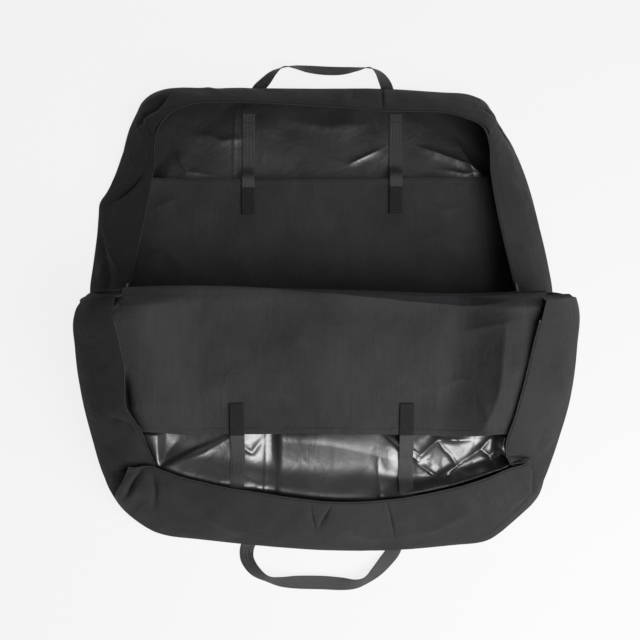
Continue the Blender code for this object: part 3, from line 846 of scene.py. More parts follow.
def rib_group():
    """Fine ribs that run along the cloth, uneven as drawn yarn is, with slubs."""
    tree, given, end = group("drawn ribs", {"Cloth": None, "Pitch": 0.003}, ["Height", "Streaks"])
    parts = joined(tree, "ShaderNodeSeparateXYZ", {0: given["Cloth"]})
    across = number(tree, "DIVIDE", parts["X"], given["Pitch"])
    rows = scaled(tree, wave(tree, across), 0.5, 0.5)
    slubs = dict(X=scaled(tree, across, 0.9), Y=scaled(tree, parts["Y"], 9.0))
    drawn = joined(tree, "ShaderNodeCombineXYZ", slubs)[0]
    streaks = noise(tree, drawn, scale=1.0, detail=3.0, roughness=0.6)
    height = scaled(tree, rows, 0.6, scaled(tree, streaks, 0.4))
    fill(tree, end, {"Height": height, "Streaks": streaks})
    return tree


def wear_group():
    """Dust and handling: broad soft patches with finer specks in them."""
    inputs = {"Place": None, "Patch": 6.0, "Speck": 260.0}
    tree, given, end = group("handling marks", inputs, ["Patches", "Specks"])
    patches = noise(tree, given["Place"], given["Patch"], detail=4.0, roughness=0.62, distortion=0.4)
    specks = between(tree, noise(tree, given["Place"], given["Speck"], detail=2.0), 0.66, 0.76)
    fill(tree, end, {"Patches": patches, "Specks": specks})
    return tree


def crinkle_group():
    """Fine creases of coated or pressed cloth, as a height."""
    tree, given, end = group("fine crinkle", {"Place": None, "Scale": 40.0, "Sharpness": 2.0}, ["Height"])
    bend = noise(tree, given["Place"], given["Scale"], detail=3.0, roughness=0.55, distortion=0.8)
    off = number(tree, "ABSOLUTE", number(tree, "SUBTRACT", bend, 0.5))
    ridge = number(tree, "SUBTRACT", 1.0, scaled(tree, off, 4.0))
    shaped = number(tree, "POWER", number(tree, "MAXIMUM", ridge, 0.0), given["Sharpness"])
    fill(tree, end, {"Height": shaped})
    return tree


threads, ribs, marks, crinkles = thread_group(), rib_group(), wear_group(), crinkle_group()


def finish(name, **fixed):
    """Material whose shader has these fixed values, its node tree, cloth coordinates and place."""
    material = bpy.data.materials.new(name)
    material.use_nodes = True
    tree = material.node_tree
    values = {key.replace("_", " "): (*value, 1) if isinstance(value, tuple) else value
              for key, value in fixed.items()}
    fill(tree, tree.nodes["Principled BSDF"], values)
    coordinates = joined(tree, "ShaderNodeTexCoord", {})
    return material, tree, coordinates["UV"], coordinates["Object"]


def speckled(tree, color, mark, share, grey):
    """Colour with a little grey lint or dust on it."""
    return mixed(tree, scaled(tree, mark["Specks"], share), color, (grey, grey, grey))


def dressed(material, color, roughness, bumps=()):
    """Material with this colour, roughness and bumps (height, distance, strength), the coarsest first."""
    tree = material.node_tree
    given = {"Base Color": color, "Roughness": roughness}
    for height, distance, strength in bumps:
        bump = {"Height": height, "Distance": distance, "Strength": strength}
        if "Normal" in given:
            bump["Normal"] = given["Normal"]
        given["Normal"] = joined(tree, "ShaderNodeBump", bump)[0]
    fill(tree, tree.nodes["Principled BSDF"], given)
    return material


def cloth_finish(name, dark, light, rib_pitch, rib_bump, streak_share, rib_share=0.0):
    """Matt black woven cloth with fine ribs, faint creases and a little lint."""
    material, tree, cloth, place = finish(
        name, Specular_IOR_Level=0.16, Sheen_Weight=0.06, Sheen_Roughness=0.5, Sheen_Tint=(0.75, 0.76, 0.80))
    rib = placed(tree, ribs, Cloth=cloth, Pitch=rib_pitch)
    weave = placed(tree, threads, Cloth=cloth, Pitch_Across=0.0011, Pitch_Along=0.0011)
    mark = placed(tree, marks, Place=place, Patch=5.0, Speck=420.0)
    crease = placed(tree, crinkles, Place=place, Scale=13.0, Sharpness=2.4)
    streak = between(tree, rib["Streaks"], 0.3, 0.7)
    patch = between(tree, mark["Patches"], 0.30, 0.75)
    share = scaled(tree, streak, streak_share, scaled(tree, patch, 0.60))
    shown = scaled(tree, number(tree, "SUBTRACT", rib["Height"], 0.5), patch)
    share = scaled(tree, shown, rib_share, share)
    color = mixed(tree, number(tree, "MINIMUM", share, 1.4), dark, light)
    color = speckled(tree, color, mark, 0.10, 0.20)
    rough = scaled(tree, mark["Patches"], 0.14, 0.79)
    return dressed(material, color, rough, [
        (crease["Height"], 0.0020, 0.45), (rib["Height"], 0.0004, rib_bump), (weave["Height"], 0.00018, 0.6)])


def coated_finish(name, dark, light, gloss):
    """Glossy coated lining: broad sheen, the weave's ribs pressed through, fine crinkles."""
    material, tree, cloth, place = finish(
        name, Specular_IOR_Level=0.9, Coat_Weight=0.35, Coat_Roughness=0.28)
    rib = placed(tree, ribs, Cloth=cloth, Pitch=0.0042)
    mark = placed(tree, marks, Place=place, Patch=7.0, Speck=520.0)
    crease = placed(tree, crinkles, Place=place, Scale=9.0, Sharpness=1.1)
    tiny = placed(tree, crinkles, Place=place, Scale=95.0, Sharpness=1.6)
    color = speckled(tree, mixed(tree, mark["Patches"], dark, light), mark, 0.12, 0.25)
    rough = scaled(tree, mark["Patches"], 0.22, gloss - 0.09)
    rough = scaled(tree, tiny["Height"], 0.06, rough)
    return dressed(material, color, rough, [
        (crease["Height"], 0.0030, 0.30), (tiny["Height"], 0.0003, 0.16), (rib["Height"], 0.0003, 0.32)])


def webbing_finish(name, dark, light, pitch, roughness, bump):
    """Woven band: chevron rows across it and ribs along its selvedges."""
    material, tree, cloth, place = finish(
        name, Specular_IOR_Level=0.30, Sheen_Weight=0.06, Sheen_Roughness=0.4, Sheen_Tint=(0.8, 0.8, 0.85))
    parts = joined(tree, "ShaderNodeSeparateXYZ", {0: cloth})
    zigzag = number(tree, "PINGPONG", parts["X"], 0.0048)
    row = number(tree, "DIVIDE", number(tree, "ADD", parts["Y"], zigzag), pitch)
    rows = scaled(tree, wave(tree, row), 0.5, 0.5)
    yarns = placed(tree, threads, Cloth=cloth, Pitch_Across=0.0016, Pitch_Along=0.0024)
    mark = placed(tree, marks, Place=place, Patch=14.0, Speck=380.0)
    share = scaled(tree, rows, 0.55, scaled(tree, mark["Patches"], 0.4))
    color = speckled(tree, mixed(tree, share, dark, light), mark, 0.10, 0.22)
    rough = scaled(tree, rows, -0.12, roughness)
    return dressed(material, color, rough, [(rows, 0.0007, bump), (yarns["Height"], 0.0003, 0.6)])


def pile_finish(name, dark, light, scale, depth):
    """Hook tape, loop tape or foam: a dense field of tiny hooks, loops or cells."""
    material, tree, cloth, place = finish(
        name, Specular_IOR_Level=0.2, Sheen_Weight=0.05, Sheen_Roughness=0.6)
    cells = joined(tree, "ShaderNodeTexVoronoi", dict(Vector=cloth, Scale=scale, Randomness=0.55))["Distance"]
    mark = placed(tree, marks, Place=place, Patch=30.0, Speck=300.0)
    share = scaled(tree, cells, 0.8, scaled(tree, mark["Patches"], 0.3))
    color = speckled(tree, mixed(tree, share, light, dark), mark, 0.15, 0.22)
    rough = scaled(tree, mark["Patches"], 0.1, 0.85)
    return dressed(material, color, rough, [(number(tree, "SUBTRACT", 1.0, cells), depth, 0.9)])


def plastic_finish(name, dark, light, roughness, grain, metallic=0.0, bare=None):
    """Moulded nylon, board or enamelled metal, with fine grain and rubbed places."""
    material, tree, _, place = finish(name, Specular_IOR_Level=0.5, Metallic=metallic)
    mark = placed(tree, marks, Place=place, Patch=60.0, Speck=900.0)
    color = mixed(tree, mark["Patches"], dark, light)
    if bare is not None:
        rub = between(tree, mark["Patches"], 0.60, 0.72)
        color = mixed(tree, scaled(tree, rub, 0.6), color, bare)
    rough = scaled(tree, mark["Patches"], 0.25, roughness - 0.12)
    fine = noise(tree, place, grain, detail=3.0, roughness=0.6)
    return dressed(material, color, rough, [(fine, 0.0002, 0.4)])


outer_cloth = cloth_finish("matt outer cloth", (0.011, 0.011, 0.0115), (0.025, 0.025, 0.0255),
                           rib_pitch=0.0026, rib_bump=0.25, streak_share=0.22)
pocket_cloth = cloth_finish("ribbed pocket cloth", (0.014, 0.014, 0.0145), (0.035, 0.035, 0.0355),
                            rib_pitch=0.0044, rib_bump=0.45, streak_share=0.16, rib_share=0.7)
base_cloth = cloth_finish("dark base cloth", (0.006, 0.006, 0.007), (0.011, 0.011, 0.012),
                          rib_pitch=0.0026, rib_bump=0.20, streak_share=0.30)
lining_cloth = coated_finish("coated lining", (0.011, 0.011, 0.0115), (0.021, 0.021, 0.0215), gloss=0.35)
wall_lining = coated_finish("coated wall lining", (0.014, 0.014, 0.015), (0.026, 0.026, 0.027), gloss=0.45)
band_weave = webbing_finish("webbing", (0.016, 0.016, 0.0165), (0.050, 0.050, 0.051),
                            pitch=0.0030, roughness=0.62, bump=0.8)
tape_weave = webbing_finish("woven zip tape", (0.009, 0.009, 0.0095), (0.020, 0.020, 0.0205),
                            pitch=0.0014, roughness=0.78, bump=0.6)
thread_finish = webbing_finish("sewing thread", (0.011, 0.011, 0.0115), (0.026, 0.026, 0.0265),
                               pitch=0.0006, roughness=0.60, bump=0.5)
hook_pile = pile_finish("hook tape", (0.004, 0.004, 0.0045), (0.010, 0.010, 0.0105), scale=900, depth=0.0006)
loop_pile = pile_finish("loop tape", (0.006, 0.006, 0.0065), (0.017, 0.017, 0.0175), scale=650, depth=0.0008)
foam_finish = pile_finish("closed cell foam", (0.060, 0.060, 0.064), (0.110, 0.110, 0.114),
                          scale=1100, depth=0.0003)
coil_nylon = plastic_finish("zip coil nylon", (0.005, 0.005, 0.0055), (0.010, 0.010, 0.0105),
                            roughness=0.60, grain=1400)
board_plastic = plastic_finish("stiffening board", (0.050, 0.050, 0.052), (0.085, 0.085, 0.086),
                               roughness=0.6, grain=700)
slider_enamel = plastic_finish("slider enamel", (0.020, 0.020, 0.022), (0.034, 0.034, 0.037),
                               roughness=0.34, grain=500, metallic=0.55, bare=(0.32, 0.31, 0.30))


def settle(piece, body, slot_name, *nodes):
    """Piece on its body and in place of these parts of the solid; its slot name is not used."""
    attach(piece, body)
    if nodes:
        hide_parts(*nodes)
    return piece


def area_of(grid):
    a = grid[1:, 1:] - grid[:-1, :-1]
    b = grid[:-1, 1:] - grid[1:, :-1]
    return float(np.linalg.norm(np.cross(a, b), axis=-1).sum() / 2)


def normals_of(grid):
    return unit(np.cross(np.gradient(grid, axis=1), np.gradient(grid, axis=0)))


# Panels of a tray

def panel_grid(tray, distance, start, rows, cols):
    """Places x and v over a tray's whole panel, its rim on the outline moved in by distance."""
    corner = 1.5
    a = np.linspace(0, 1, cols)
    right = tray.inset(corner * rows, distance)
    left = tray.inset(u_left - corner * rows, distance)
    top = tray.inset(u_left - corner + (2 * corner - u_left) * a, distance)
    right[0, 1] = left[0, 1] = start
    bottom = left[0] + (right[0] - left[0]) * a[:, None]
    a, b = a[None, :, None], rows[:, None, None]
    grid = (1 - b) * bottom[None] + b * top[None] + (1 - a) * left[:, None] + a * right[:, None]
    grid -= (1 - a) * (1 - b) * bottom[0] + a * (1 - b) * bottom[-1] + (1 - a) * b * top[0] + a * b * top[-1]
    return grid[..., 0], grid[..., 1]


def tail_emboss(x, v):
    """1 over the handle's tails that are sewn on the outer face."""
    near = np.abs(np.abs(x) - handle_middle) - webbing_width / 2
    return (1 - ramp(near, 0.0005, 0.006)) * ramp(v, tail_start - 0.008, tail_start)


def outer_panel(tray):
    """Outer panel: cloth on thin foam, softly uneven, raised where the handle's tails lie under it."""
    x, v = panel_grid(tray, 0, tray.panel_start, np.linspace(0, 1, 90), 150)
    under = 0.0005 + 0.0021 * tail_emboss(x, v) + 0.0003 * (1 + soft_noise(x, v, 0.05, 5))
    top = tray.at(x, v, shell_thickness - 0.0002)
    piece = sheet_piece(tray.name + "_outer_panel", top, tray.at(x, v, under), [outer_cloth], (x, v))
    settle(piece, tray.body, "outer_cloth", tray.name + "_shell")
    x, v = panel_grid(tray, 0.0095, lining_start, np.linspace(0, 1, 40), 70)
    puff = 0.0002 * np.abs(np.sin(x / 0.05 * pi) * np.sin(v / 0.05 * pi))
    top = tray.at(x, v, foam_top + puff)
    piece = sheet_piece(tray.name + "_foam_pad", top, tray.at(x, v, foam_under), [foam_finish], (x, v))
    settle(piece, tray.body, "foam", tray.name + "_padding")


def edge_binding(tray):
    """Bound seam where the wall is sewn to the outer panel."""
    u = np.linspace(wall_end, u_left - wall_end, 460)
    edge = tray.inset(u, 0.0006)
    path = tray.at(edge[:, 0], edge[:, 1], 0.0046 + 0.0007 * soft_noise(u * 0.5, 0 * u, 0.03, 23))
    piece = tube(tray.name + "_edge_binding", path, binding_radius, 10, band_weave, tray.up(), 0.85)
    settle(piece, tray.body, "outer_cloth")


def lining_sheet(tray):
    """Creased lining, with most of its rows in the part that isn't under the pocket."""
    first, last = tray.lining_rows
    hidden, beyond = np.linspace(0, first, 14)[:-1], np.linspace(last, 1, 8)[1:]
    rows = np.concatenate([hidden, np.linspace(first, last, 140), beyond])
    x, v = panel_grid(tray, 0.0092, lining_start, rows, 380)
    height = lining_height(tray, x, v)
    under = tray.at(x, v, np.maximum(height - lining_thick, foam_top + 0.0003))
    piece = sheet_piece(tray.name + "_lining_cloth", tray.at(x, v, height), under, [lining_cloth], (x, v))
    settle(piece, tray.body, "coated_lining", tray.name + "_lining")
    area = round(area_of(tray.at(x, v, lining_top)), 3)


def walls(tray):
    """Gusset in three lengths; the top one laps over the side ones where the corners are pleated."""
    for place, (first, last) in wall_spans[tray.name].items():
        u = np.linspace(first, last, 600 if place == "top" else 170)
        widths = wall_widths(tray, u, place)
        t = np.linspace(0, 1, 44)[:, None] ** 0.9 * (1 - rim_gap / widths)
        back = widths * (1 - t)
        end = np.minimum(u - first, last - u) * 0.36 if place == "top" else 1
        thin = 1 - ramp(back, 0.016, 0.028) * ramp(end, 0, 0.022)
        lap = wall_lap(tray, u, place) * ramp(t, 0.02, 0.45)
        over = wall_thickness / 2 * (1 - thin) + thin_over * thin
        under = -wall_thickness / 2 * (1 - thin) + thin_under * thin
        outside, inside = (on_wall(tray, u, t, out + lap, place) for out in (over, under))
        edge = tray.edge(u)
        piece = sheet_piece(f"{tray.name}_gusset_{place}", outside, inside, [outer_cloth, wall_lining],
                            (reach_of(edge), t * widths))
        settle(piece, tray.body, "outer_cloth", f"{tray.name}_wall_{place}")
        seam = tray.at(edge[:, 0], edge[:, 1], 0)
        raised = stitch_over + wall_lap(tray, u, place)
        rows = [on_wall(tray, u, 1 - down / widths, raised, place) for down in wall_rows]
        stitching(f"{tray.name}_gusset_stitching_{place}", rows, tray.up(), tray.body, "outer_cloth")


def wall_returns(tray):
    """Cloth that closes each side wall's end, folded down onto the ridge."""
    for place, u, seat_x, seed in (("right", wall_end, (0.650, 0.614, 0.572), 61),
                                   ("left", u_left - wall_end, (-0.604, -0.572, -0.522), 63)):
        t = np.linspace(0, 0.985, 34)
        edge = on_wall(tray, u + 0 * t, t, -0.0020, place)
        x = np.interp(t, (0, 0.5, 1), seat_x)
        seat = tray.at(x, 0.0045 - eased(ridge_sag, x) + 0.003 * t, 0.0045 + 0.004 * t)
        a = np.linspace(0, 1, 22)[:, None]
        bow = np.sin(pi * a)[..., None] * np.stack([0 * t, -0.003 * np.sin(pi * t), -0.003 * t], -1)
        waves = 0.0010 * soft_noise(a * 0.1 + 0 * t, t * 0.12 + 0 * a, 0.035, seed)
        grid = edge * (1 - a[..., None]) + seat * a[..., None] + bow
        grid[..., 1] += waves * np.sin(pi * a)
        normal = normals_of(grid) * thin_cloth
        piece = sheet_piece(f"{tray.name}_wall_return_{place}", grid + normal, grid - normal, [outer_cloth],
                            (t * 0.13, a * 0.11))
        settle(piece, tray.body, "outer_cloth")


def zip_spans(tray):
    """The zip's lengths: part, first u and last u; the front tray's starts and ends above the ridge."""
    if not tray.front:
        return [(None, 0, u_left)]
    start = (front_zip_start - wall_start) / (half_zip_points[2][1] - wall_start)
    return [(part, max(first, start), min(last, u_left - start))
            for part, (first, last) in wall_spans["front"].items()]


def zip_tape(tray):
    """Tape under the gusset's edge; its first length takes the place of the solid one."""
    for part, first, last in zip_spans(tray):
        u = np.linspace(first, last, int(30 + 110 * (last - first)) if tray.front else 520)
        lap = wall_lap(tray, u, part)
        back = np.linspace(tape_near + tape_width + tape_cover, tape_near - 0.0012, 7)[:, None]
        t = 1 - back / wall_widths(tray, u, part)
        outside, inside = (on_wall(tray, u, t, out + lap, part) for out in (0.0007, -0.0008))
        piece = sheet_piece(f"{tray.name}_tape_{part or 'all'}", outside, inside, [tape_weave],
                            (-back, reach_of(tray.rim(u, part))))
        settle(piece, tray.body, "zip_tape", *([tray.name + "_zip_tape"] if part in (None, "right") else []))


def zip_coil(tray):
    """Row of bent nylon teeth on a core cord, with a stop at each end."""
    runs = []
    for part, first, last in zip_spans(tray):
        u = np.linspace(first, last, int(420 * (last - first)))
        runs.append(on_wall(tray, u, 1, wall_lap(tray, u, part), part))
    line = np.concatenate(runs)
    reach = reach_of(line)
    line = smoothed(spots_on(line, reach, np.linspace(0, reach[-1], 2600)), 6)
    reach = reach_of(line)
    count = int(reach[-1] / tooth_pitch)
    middle = spots_on(line, reach, (np.arange(count) + 0.5) * reach[-1] / count)
    along, across, lift = (side[:, None, None] for side in frames_along(middle, tray.up()))
    length = np.array([-0.0011, -0.0005, 0.0005, 0.0011])[:, None, None]
    swell = np.array([0.72, 1.0, 1.0, 0.72])[:, None, None]
    rings = middle[:, None, None] + along * length - across * tooth_section[:, :1] * swell
    rings = rings + lift * tooth_section[:, 1:] * swell
    sections, sides = rings.shape[1:3]
    one = ring_faces(sections, sides)
    faces = [[i + k * sections * sides for i in face] for k in range(count) for face in one]
    teeth = mesh_piece(tray.name + "_coil_teeth", rings, faces, [coil_nylon])
    settle(teeth, tray.body, "zip_coil", tray.name + "_zip_coil")
    core = tube(tray.name + "_coil_core", line[::5], core_radius, 8, coil_nylon, tray.up())
    settle(core, tray.body, "zip_coil")
    for name, end, inner in (("start", line[0], line[12]), ("end", line[-1], line[-13])):
        path = end + (inner - end) * np.linspace(-0.10, 0.5, 5)[:, None]
        stop = tube(f"{tray.name}_zip_stop_{name}", path, stop_radius, 10, coil_nylon, tray.up(), 0.8)
        settle(stop, tray.body, "zip_coil")


def pocket(tray):
    """Wheel pocket: a ribbed panel sewn along the base and both sides, with a folded hem at its mouth."""
    a = np.linspace(-1, 1, 320)
    b = np.linspace(0, 1, 140)[:, None]
    right, left = pocket_side(tray, wall_start + (pocket_side_end - wall_start) * b)
    x = np.where(a > 0, a * right, a * left)
    v = wall_start + (mouth_at(tray, x) - wall_start) * b
    height = pocket_top(tray, x, v)
    top, under = tray.at(x, v, height), tray.at(x, v, height - pocket_thickness)
    piece = sheet_piece(tray.name + "_wheel_pocket", top, under, [pocket_cloth, wall_lining], (x, v))
    settle(piece, tray.body, "outer_cloth", tray.name + "_pocket_panel")
    area = round(area_of(tray.at(x, v, 0)), 3)
    x, v, height = x[-1], v[-1], height[-1]
    turn = np.linspace(0, 2 * pi, 13)[:-1]
    roll = hem_thick * np.sign(np.sin(turn)) * np.abs(np.sin(turn)) ** 0.6
    rings = tray.at(x[:, None], v[:, None] - hem_back + hem_half * np.cos(turn),
                    height[:, None] - pocket_thickness / 2 + 0.0002 + roll)
    hem = swept(tray.name + "_pocket_binding", rings, [pocket_cloth], (x[:, None], hem_half * turn))
    settle(hem, tray.body, "outer_cloth", tray.name + "_pocket_hem")
    rows = [tray.at(x, v - back, pocket_top(tray, x, v - back) + over)[3:-3] for back, over in hem_rows]
    side_v = np.linspace(0.03, 0.37, 120)
    for sign, half in zip((1, -1), pocket_side(tray, side_v)):
        seam_x = sign * (half - side_seam)
        rows.append(tray.at(seam_x, side_v, pocket_top(tray, seam_x, side_v) + 0.0004))
    stitching(tray.name + "_pocket_stitching", rows, tray.up(), tray.body, "outer_cloth")


# Straps and handles

def band(tray, name, path, materials, node, body=None, slot_name="webbing", width=webbing_width,
         thickness=webbing_thickness, hook_share=0):
    """Length of webbing or tape along a path on a tray."""
    _, across, lift = frames_along(path, tray.up())
    piece = webbing(tray.name + name, path, across, lift, width, thickness, materials, hook_share)
    settle(piece, body or tray.body, slot_name, tray.name + node)


def strap_height(tray, middle, v, layers):
    """Underside of a strap: over the panel on its patches, then down on the creased lining."""
    x, v_grid = np.meshgrid(middle + np.linspace(-0.017, 0.017, 5), v)
    panel = pocket_top(tray, x, np.minimum(v_grid, mouth_at(tray, x))).max(1)
    panel = panel + 0.0003 + layers * (patch_thickness + 0.0003)
    floor = lining_height(tray, x, v_grid).max(1) + 0.0006
    mouth = float(mouth_at(tray, np.array(middle)))
    past = ramp(v, mouth + 0.006, mouth + 0.052)
    over = np.maximum(panel, np.interp(v, [mouth - 0.02, mouth], [0, 1]) * (panel + 0.0012))
    return smoothed(over * (1 - past) + floor * past, 10)


def straps(tray):
    """Closing straps, the hook and loop tape between them and the pocket, and the tabs at their roots."""
    for sign, place in band_sides:
        middle = sign * strap_middle
        v = np.linspace(strap_end - 0.001, strap_root, 90)
        x = middle + sign * tray.strap_lean * (strap_root - v) / (strap_root - strap_end)
        height = strap_height(tray, middle, v, 2)
        body = f"{tray.name}_strap_{place}"
        path = tray.at(x, v, height + webbing_thickness / 2)
        band(tray, f"_closing_strap_{place}", path, [band_weave, hook_pile], f"_strap_{place}", body,
             hook_share=0.29)
        row = (v > strap_end + patch_start) & (v < strap_end + patch_end)
        for layer, kind, material, owner in ((0, "loop", loop_pile, tray.body), (1, "hook", hook_pile, body)):
            under = strap_height(tray, middle, v, layer)[row]
            path = tray.at(x[row], v[row], under + patch_thickness / 2)
            band(tray, f"_{kind}_tape_{place}", path, [material], f"_{kind}_patch_{place}", owner,
                 "hook_and_loop", patch_width, patch_thickness)
        strap_stitches(tray, place, body, x, v, height)
        tab_v = np.linspace(strap_root + tab_start, strap_root + tab_end, 14)
        tab_n = lining_height(tray, middle + 0 * tab_v, tab_v) + 0.0004 + webbing_thickness / 2
        path = tray.at(middle, tab_v, smoothed(np.maximum(tab_n, tab_n.mean()), 4))
        band(tray, f"_sewn_tab_{place}", path, [band_weave], f"_strap_tab_{place}")


def strap_stitches(tray, place, body, x, v, height):
    """Box of stitches with a cross, through the strap and its hook tape."""
    half = webbing_width / 2 - 0.004
    low, high = strap_end + box_start, strap_end + box_end
    cross = high - 2 * half
    lines = (((-half, low), (half, low), (half, high), (-half, high), (-half, low)),
             ((-half, cross), (half, high)), ((half, cross), (-half, high)), ((-half, cross), (half, cross)))
    share = np.linspace(0, 1, 24)[:, None]
    paths = []
    for line in lines:
        ends = np.array(line)
        across, run = np.concatenate([a + share * (b - a) for a, b in zip(ends, ends[1:])]).T
        over = np.interp(run, v, height) + webbing_thickness + 0.0001
        paths.append(tray.at(np.interp(run, v, x) + across, run, over))
    stitching(f"{tray.name}_strap_stitching_{place}", paths, tray.up(), body, "webbing")


def smooth_path(points, count):
    """Curve through points, evenly spaced."""
    p = np.array(points, float)
    extended = np.concatenate([[2 * p[0] - p[1]], p, [2 * p[-1] - p[-2]]])
    t = np.linspace(0, 1, 40, endpoint=False)[:, None]
    spread = []
    for a, b, c, d in zip(extended, extended[1:], extended[2:], extended[3:]):
        spread.append(0.5 * (2 * b + (c - a) * t + (2 * a - 5 * b + 4 * c - d) * t ** 2
                             + (3 * b - a - 3 * c + d) * t ** 3))
    fine = np.concatenate(spread + [p[-1:]])
    reach = reach_of(fine[:, :2])
    return spots_on(fine, reach, np.linspace(0, reach[-1], count))


# Each handle's middle line: x, y in world metres, roll of the band in degrees
handle_lines = {
    "back": (
        (-0.2, 0.664, 0), (-0.193, 0.685, -4), (-0.172, 0.708, -18), (-0.148, 0.733, -42),
        (-0.118, 0.75, -66), (-0.085, 0.752, -52), (-0.04, 0.747, -30), (0.01, 0.743, -22),
        (0.06, 0.742, -26), (0.105, 0.745, -46), (0.145, 0.748, -66), (0.172, 0.733, -44),
        (0.19, 0.706, -16), (0.198, 0.684, -4), (0.2, 0.664, 0),
    ),
    "front": (
        (-0.2, -0.662, 0), (-0.204, -0.682, -5), (-0.2, -0.706, -20), (-0.18, -0.733, -40),
        (-0.146, -0.754, -66), (-0.11, -0.762, -50), (-0.06, -0.763, -26), (0, -0.764, -22),
        (0.05, -0.767, -30), (0.088, -0.768, -52), (0.118, -0.758, -62), (0.146, -0.735, -40),
        (0.172, -0.707, -18), (0.192, -0.682, -5), (0.2, -0.662, 0),
    ),
}


def handle(tray):
    """Carry handle: one length of webbing that rolls onto its edge at both bends, and its sewn tails."""
    line = smooth_path(handle_lines[tray.name], 150)
    roll = np.radians(-tray.outward * line[:, 2])[:, None]
    path = line * (1, 1, 0)
    along, across, lift = frames_along(path, (0, 0, 1))
    turned = across * np.cos(roll) + lift * np.sin(roll)
    upward = np.cross(turned, along)
    width_up, thickness_up = np.abs(turned[:, 2]) * webbing_width, np.abs(upward[:, 2]) * handle_thickness
    path[:, 2] = width_up / 2 + thickness_up / 2 + 0.0004
    piece = webbing(tray.name + "_carry_handle", path, turned, upward, webbing_width, handle_thickness,
                    [band_weave])
    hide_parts(tray.name + "_handle")
    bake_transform(piece)
    for sign, place in band_sides:
        path = tray.at(sign * handle_middle, np.linspace(tail_start, tail_end, 40), handle_thickness / 2)
        band(tray, f"_handle_webbing_{place}", path, [band_weave], f"_handle_tail_{place}",
             thickness=0.9 * webbing_thickness)


# Base and ridge

def ridge_at(x):
    """Middle of the corded ridge: it sags a little and drops at its ends."""
    drop = 0.026 * ramp(-x, 0.560, 0.625) ** 2 + 0.040 * ramp(x, 0.585, 0.675) ** 2
    return ridge_y - eased(ridge_sag, x), ridge_height - drop + 0.0006 * soft_noise(x, 0 * x, 0.07, 3)


def base_sheet(name, near, far, low, below, half, material, slot_name, node):
    """Upright sheet of the base between two distances behind the ridge's line."""
    a = np.linspace(0, 1, 160)[None, :]
    b = np.linspace(0, 1, 44)[:, None]
    x = -half + 2 * half * a + 0 * b
    for _ in range(3):
        z = low + (ridge_at(x)[1] - below - low) * b
        lean = ramp(z, 0.12, ridge_height)
        start = 0.050 * lean ** 2 - half
        x = start + (half - 0.004 * lean - start) * a
    ripple = 0.0026 * soft_noise(x, z, 0.16, 81) * np.sin(pi * b)
    y = ridge_y + (ridge_at(x)[0] - ridge_y) * (z / ridge_height) ** 1.5 + ripple
    front, back = (np.stack([x, y + side, z], -1) for side in (near, far))
    piece = sheet_piece(name, front, back, [material], (x, z))
    return settle(piece, "back_tray", slot_name, node)


def base():
    """Base gusset: outer cloth, board and lining, with the corded ridge and a soft fold over it."""
    outer = base_sheet("base_gusset", near=-0.003, far=-0.0003, low=0.0045, below=0.0050, half=base_half,
                       material=outer_cloth, slot_name="outer_cloth", node="base_shell")
    board = base_sheet("base_stiffener", near=0.0004, far=0.0030, low=0.0050, below=0.0170, half=0.648,
                       material=board_plastic, slot_name="board", node="base_board")
    inner = base_sheet("base_lining_cloth", near=0.0035, far=0.0044, low=0.0050, below=0.0160, half=0.640,
                       material=wall_lining, slot_name="coated_lining", node="base_lining")
    x = np.linspace(-0.612, 0.648, 260)
    line = np.stack([x, *ridge_at(x)], -1)
    piping = tube("ridge_piping", line, piping_radius, 14, outer_cloth, (0, 0, 1))
    settle(piping, "back_tray", "outer_cloth", "ridge_cord")


def ridge_fold():
    """Cloth over the ridge: the base's dark cloth, lapped by the folded edge of the front pocket's cloth."""
    tray = trays["front"]
    x = np.linspace(-0.524, 0.586, 260)
    y_top, z_top = ridge_at(x)
    inner_x = np.minimum(x, 0.585)
    sway = 0.0030 * soft_noise(x, 0 * x, 0.24, 44)

    def on_panel(v, over):
        return tray.at(x, v - eased(ridge_sag, x), pocket_top(tray, inner_x, np.full_like(x, v)) + over)

    # Across the fold: distances over the front pocket, or with a minus behind the ridge, and the places there
    keys = np.array([0.085, 0.050, 0.024, 0.011, 0.0, -0.009, -0.018, -0.055])
    spine = np.stack([
        on_panel(0.085, 0.0006), on_panel(0.050, 0.0010), on_panel(0.024, 0.0026), on_panel(0.012, 0.0042),
        np.stack([x, y_top - 0.0005 + sway, z_top + 0.0082], -1),
        np.stack([x, y_top + 0.0072 + sway * 0.6, z_top + 0.0030], -1),
        np.stack([x, y_top + 0.0085, z_top - 0.008], -1),
        np.stack([x, ridge_y + 0.0060 + 0 * x, z_top - 0.046], -1),
    ])
    slopes = np.gradient(spine, keys, axis=0)
    edge = eased(fold_edge, x) + 0.0015 * soft_noise(x, 0 * x, 0.06, 47)
    far = np.maximum(edge + 0.042, 0.058)
    light_rows = 16
    a = np.linspace(0, 1, light_rows)[:, None]
    b = np.linspace(0, 1, 26)[1:, None]
    reach = np.concatenate([far + (edge - far) * a, edge - 0.0008 + (-0.050 - edge) * b])
    lap = np.concatenate([-0.0017 + 0.0022 * ramp(a, 0, 0.9) + 0.0014 * ramp(a, 0.75, 0.97), 0 * b])
    lap[light_rows - 1] *= 0.75
    k = np.clip(np.searchsorted(-keys, -reach) - 1, 0, len(keys) - 2)
    gap = keys[k + 1] - keys[k]
    t = (reach - keys[k]) / gap
    col = np.arange(len(x))
    grid = hermite(t[..., None], gap[..., None], spine[k, col], spine[k + 1, col],
                   slopes[k, col], slopes[k + 1, col])
    normal = normals_of(grid)
    normal *= np.sign(normal[..., 2:] + 1e-9)
    grid = grid + normal * lap[..., None]
    dark = np.zeros((len(grid) - 1, len(x) - 1), np.int32)
    dark[light_rows - 1:] = 1
    over, under = grid + normal * 0.0004, grid - normal * thin_cloth
    piece = sheet_piece("ridge_fold", over, under, [pocket_cloth, base_cloth], (x, reach), dark)
    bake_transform(piece)


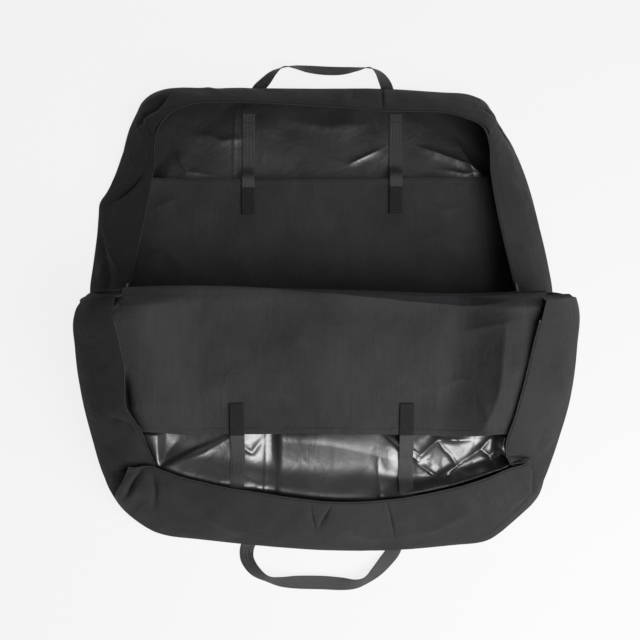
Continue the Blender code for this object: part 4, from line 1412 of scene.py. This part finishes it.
def sliders():
    """Enamel on the zip's two sliders and their pulls."""
    for place in ("right", "left"):
        for node in (f"zip_slider_{place}", f"zip_pull_{place}"):
            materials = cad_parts[node].data.materials
            materials.clear()
            materials.append(slider_enamel)


for tray in trays.values():
    outer_panel(tray)
    edge_binding(tray)
    lining_sheet(tray)
    walls(tray)
    if tray.front:
        wall_returns(tray)
    zip_tape(tray)
    zip_coil(tray)
    pocket(tray)
    straps(tray)
    handle(tray)
base()
ridge_fold()
sliders()


# Floor, light and camera

floor_reach = 14.0
floor_level = -0.0006
camera_height = 2.78
camera_ahead = 0.705       # in front of the ridge
camera_pitch = 76.05       # degrees below level


def floor():
    """Pale, softly glowing floor that reaches past the picture on all sides."""
    material, tree, _, place = finish(
        "pale studio floor", Specular_IOR_Level=0.1, Emission_Color=(1.0, 1.0, 1.0), Emission_Strength=0.846)
    grain = noise(tree, place, scale=2.0, detail=2.0)
    color = mixed(tree, grain, (0.049, 0.049, 0.049), (0.052, 0.052, 0.052))
    dressed(material, color, 0.9)
    signs = ((-1, -1), (1, -1), (1, 1), (-1, 1))
    corners = [(x * floor_reach, y * floor_reach, floor_level) for x, y in signs]
    mesh_piece("studio_floor", corners, [(0, 1, 2, 3)], [material], sharp=None)


def softbox(name, place, target, width, height, power):
    """Flat box of light that the camera doesn't see."""
    data = bpy.data.lights.new(name, "AREA")
    data.shape = "RECTANGLE"
    data.size, data.size_y, data.energy = width, height, power
    lamp = new_object(name, data)
    lamp.location = place
    lamp.rotation_euler = (Vector(target) - Vector(place)).to_track_quat("-Z", "Y").to_euler()
    lamp.visible_camera = False


def light():
    """Even studio light from above, one large box on the right and a weak one behind."""
    world = bpy.data.worlds.new("studio")
    world.use_nodes = True
    fill(world.node_tree, world.node_tree.nodes["Background"], {"Color": (1, 1, 1, 1), "Strength": 0.140})
    bpy.context.scene.world = world
    data = bpy.data.lights.new("overhead_key", "SUN")
    data.energy = 0.35
    data.angle = radians(30)
    lamp = new_object("overhead_key", data)
    lamp.rotation_euler = Vector((0.32, -0.18, 0.93)).to_track_quat("Z", "Y").to_euler()
    softbox("right_softbox", (1.35, -1.52, 1.95), (0.20, -0.40, 0.1), width=2.3, height=1.7, power=138)
    softbox("rear_fill", (1.6, 3.4, 1.3), (0.1, 0.3, 0.1), width=2.2, height=1.2, power=22)


def camera():
    data = bpy.data.cameras.new("studio_camera")
    data.sensor_width = 36
    data.lens = 56.25
    data.shift_x = -0.0031
    data.clip_end = 60
    eye = new_object("studio_camera", data)
    eye.location = (0, ridge_y - camera_ahead, camera_height)
    eye.rotation_euler = (radians(90 - camera_pitch), 0, 0)
    bpy.context.scene.camera = eye


floor()
light()
camera()
bpy.context.scene.view_settings.view_transform = "Standard"
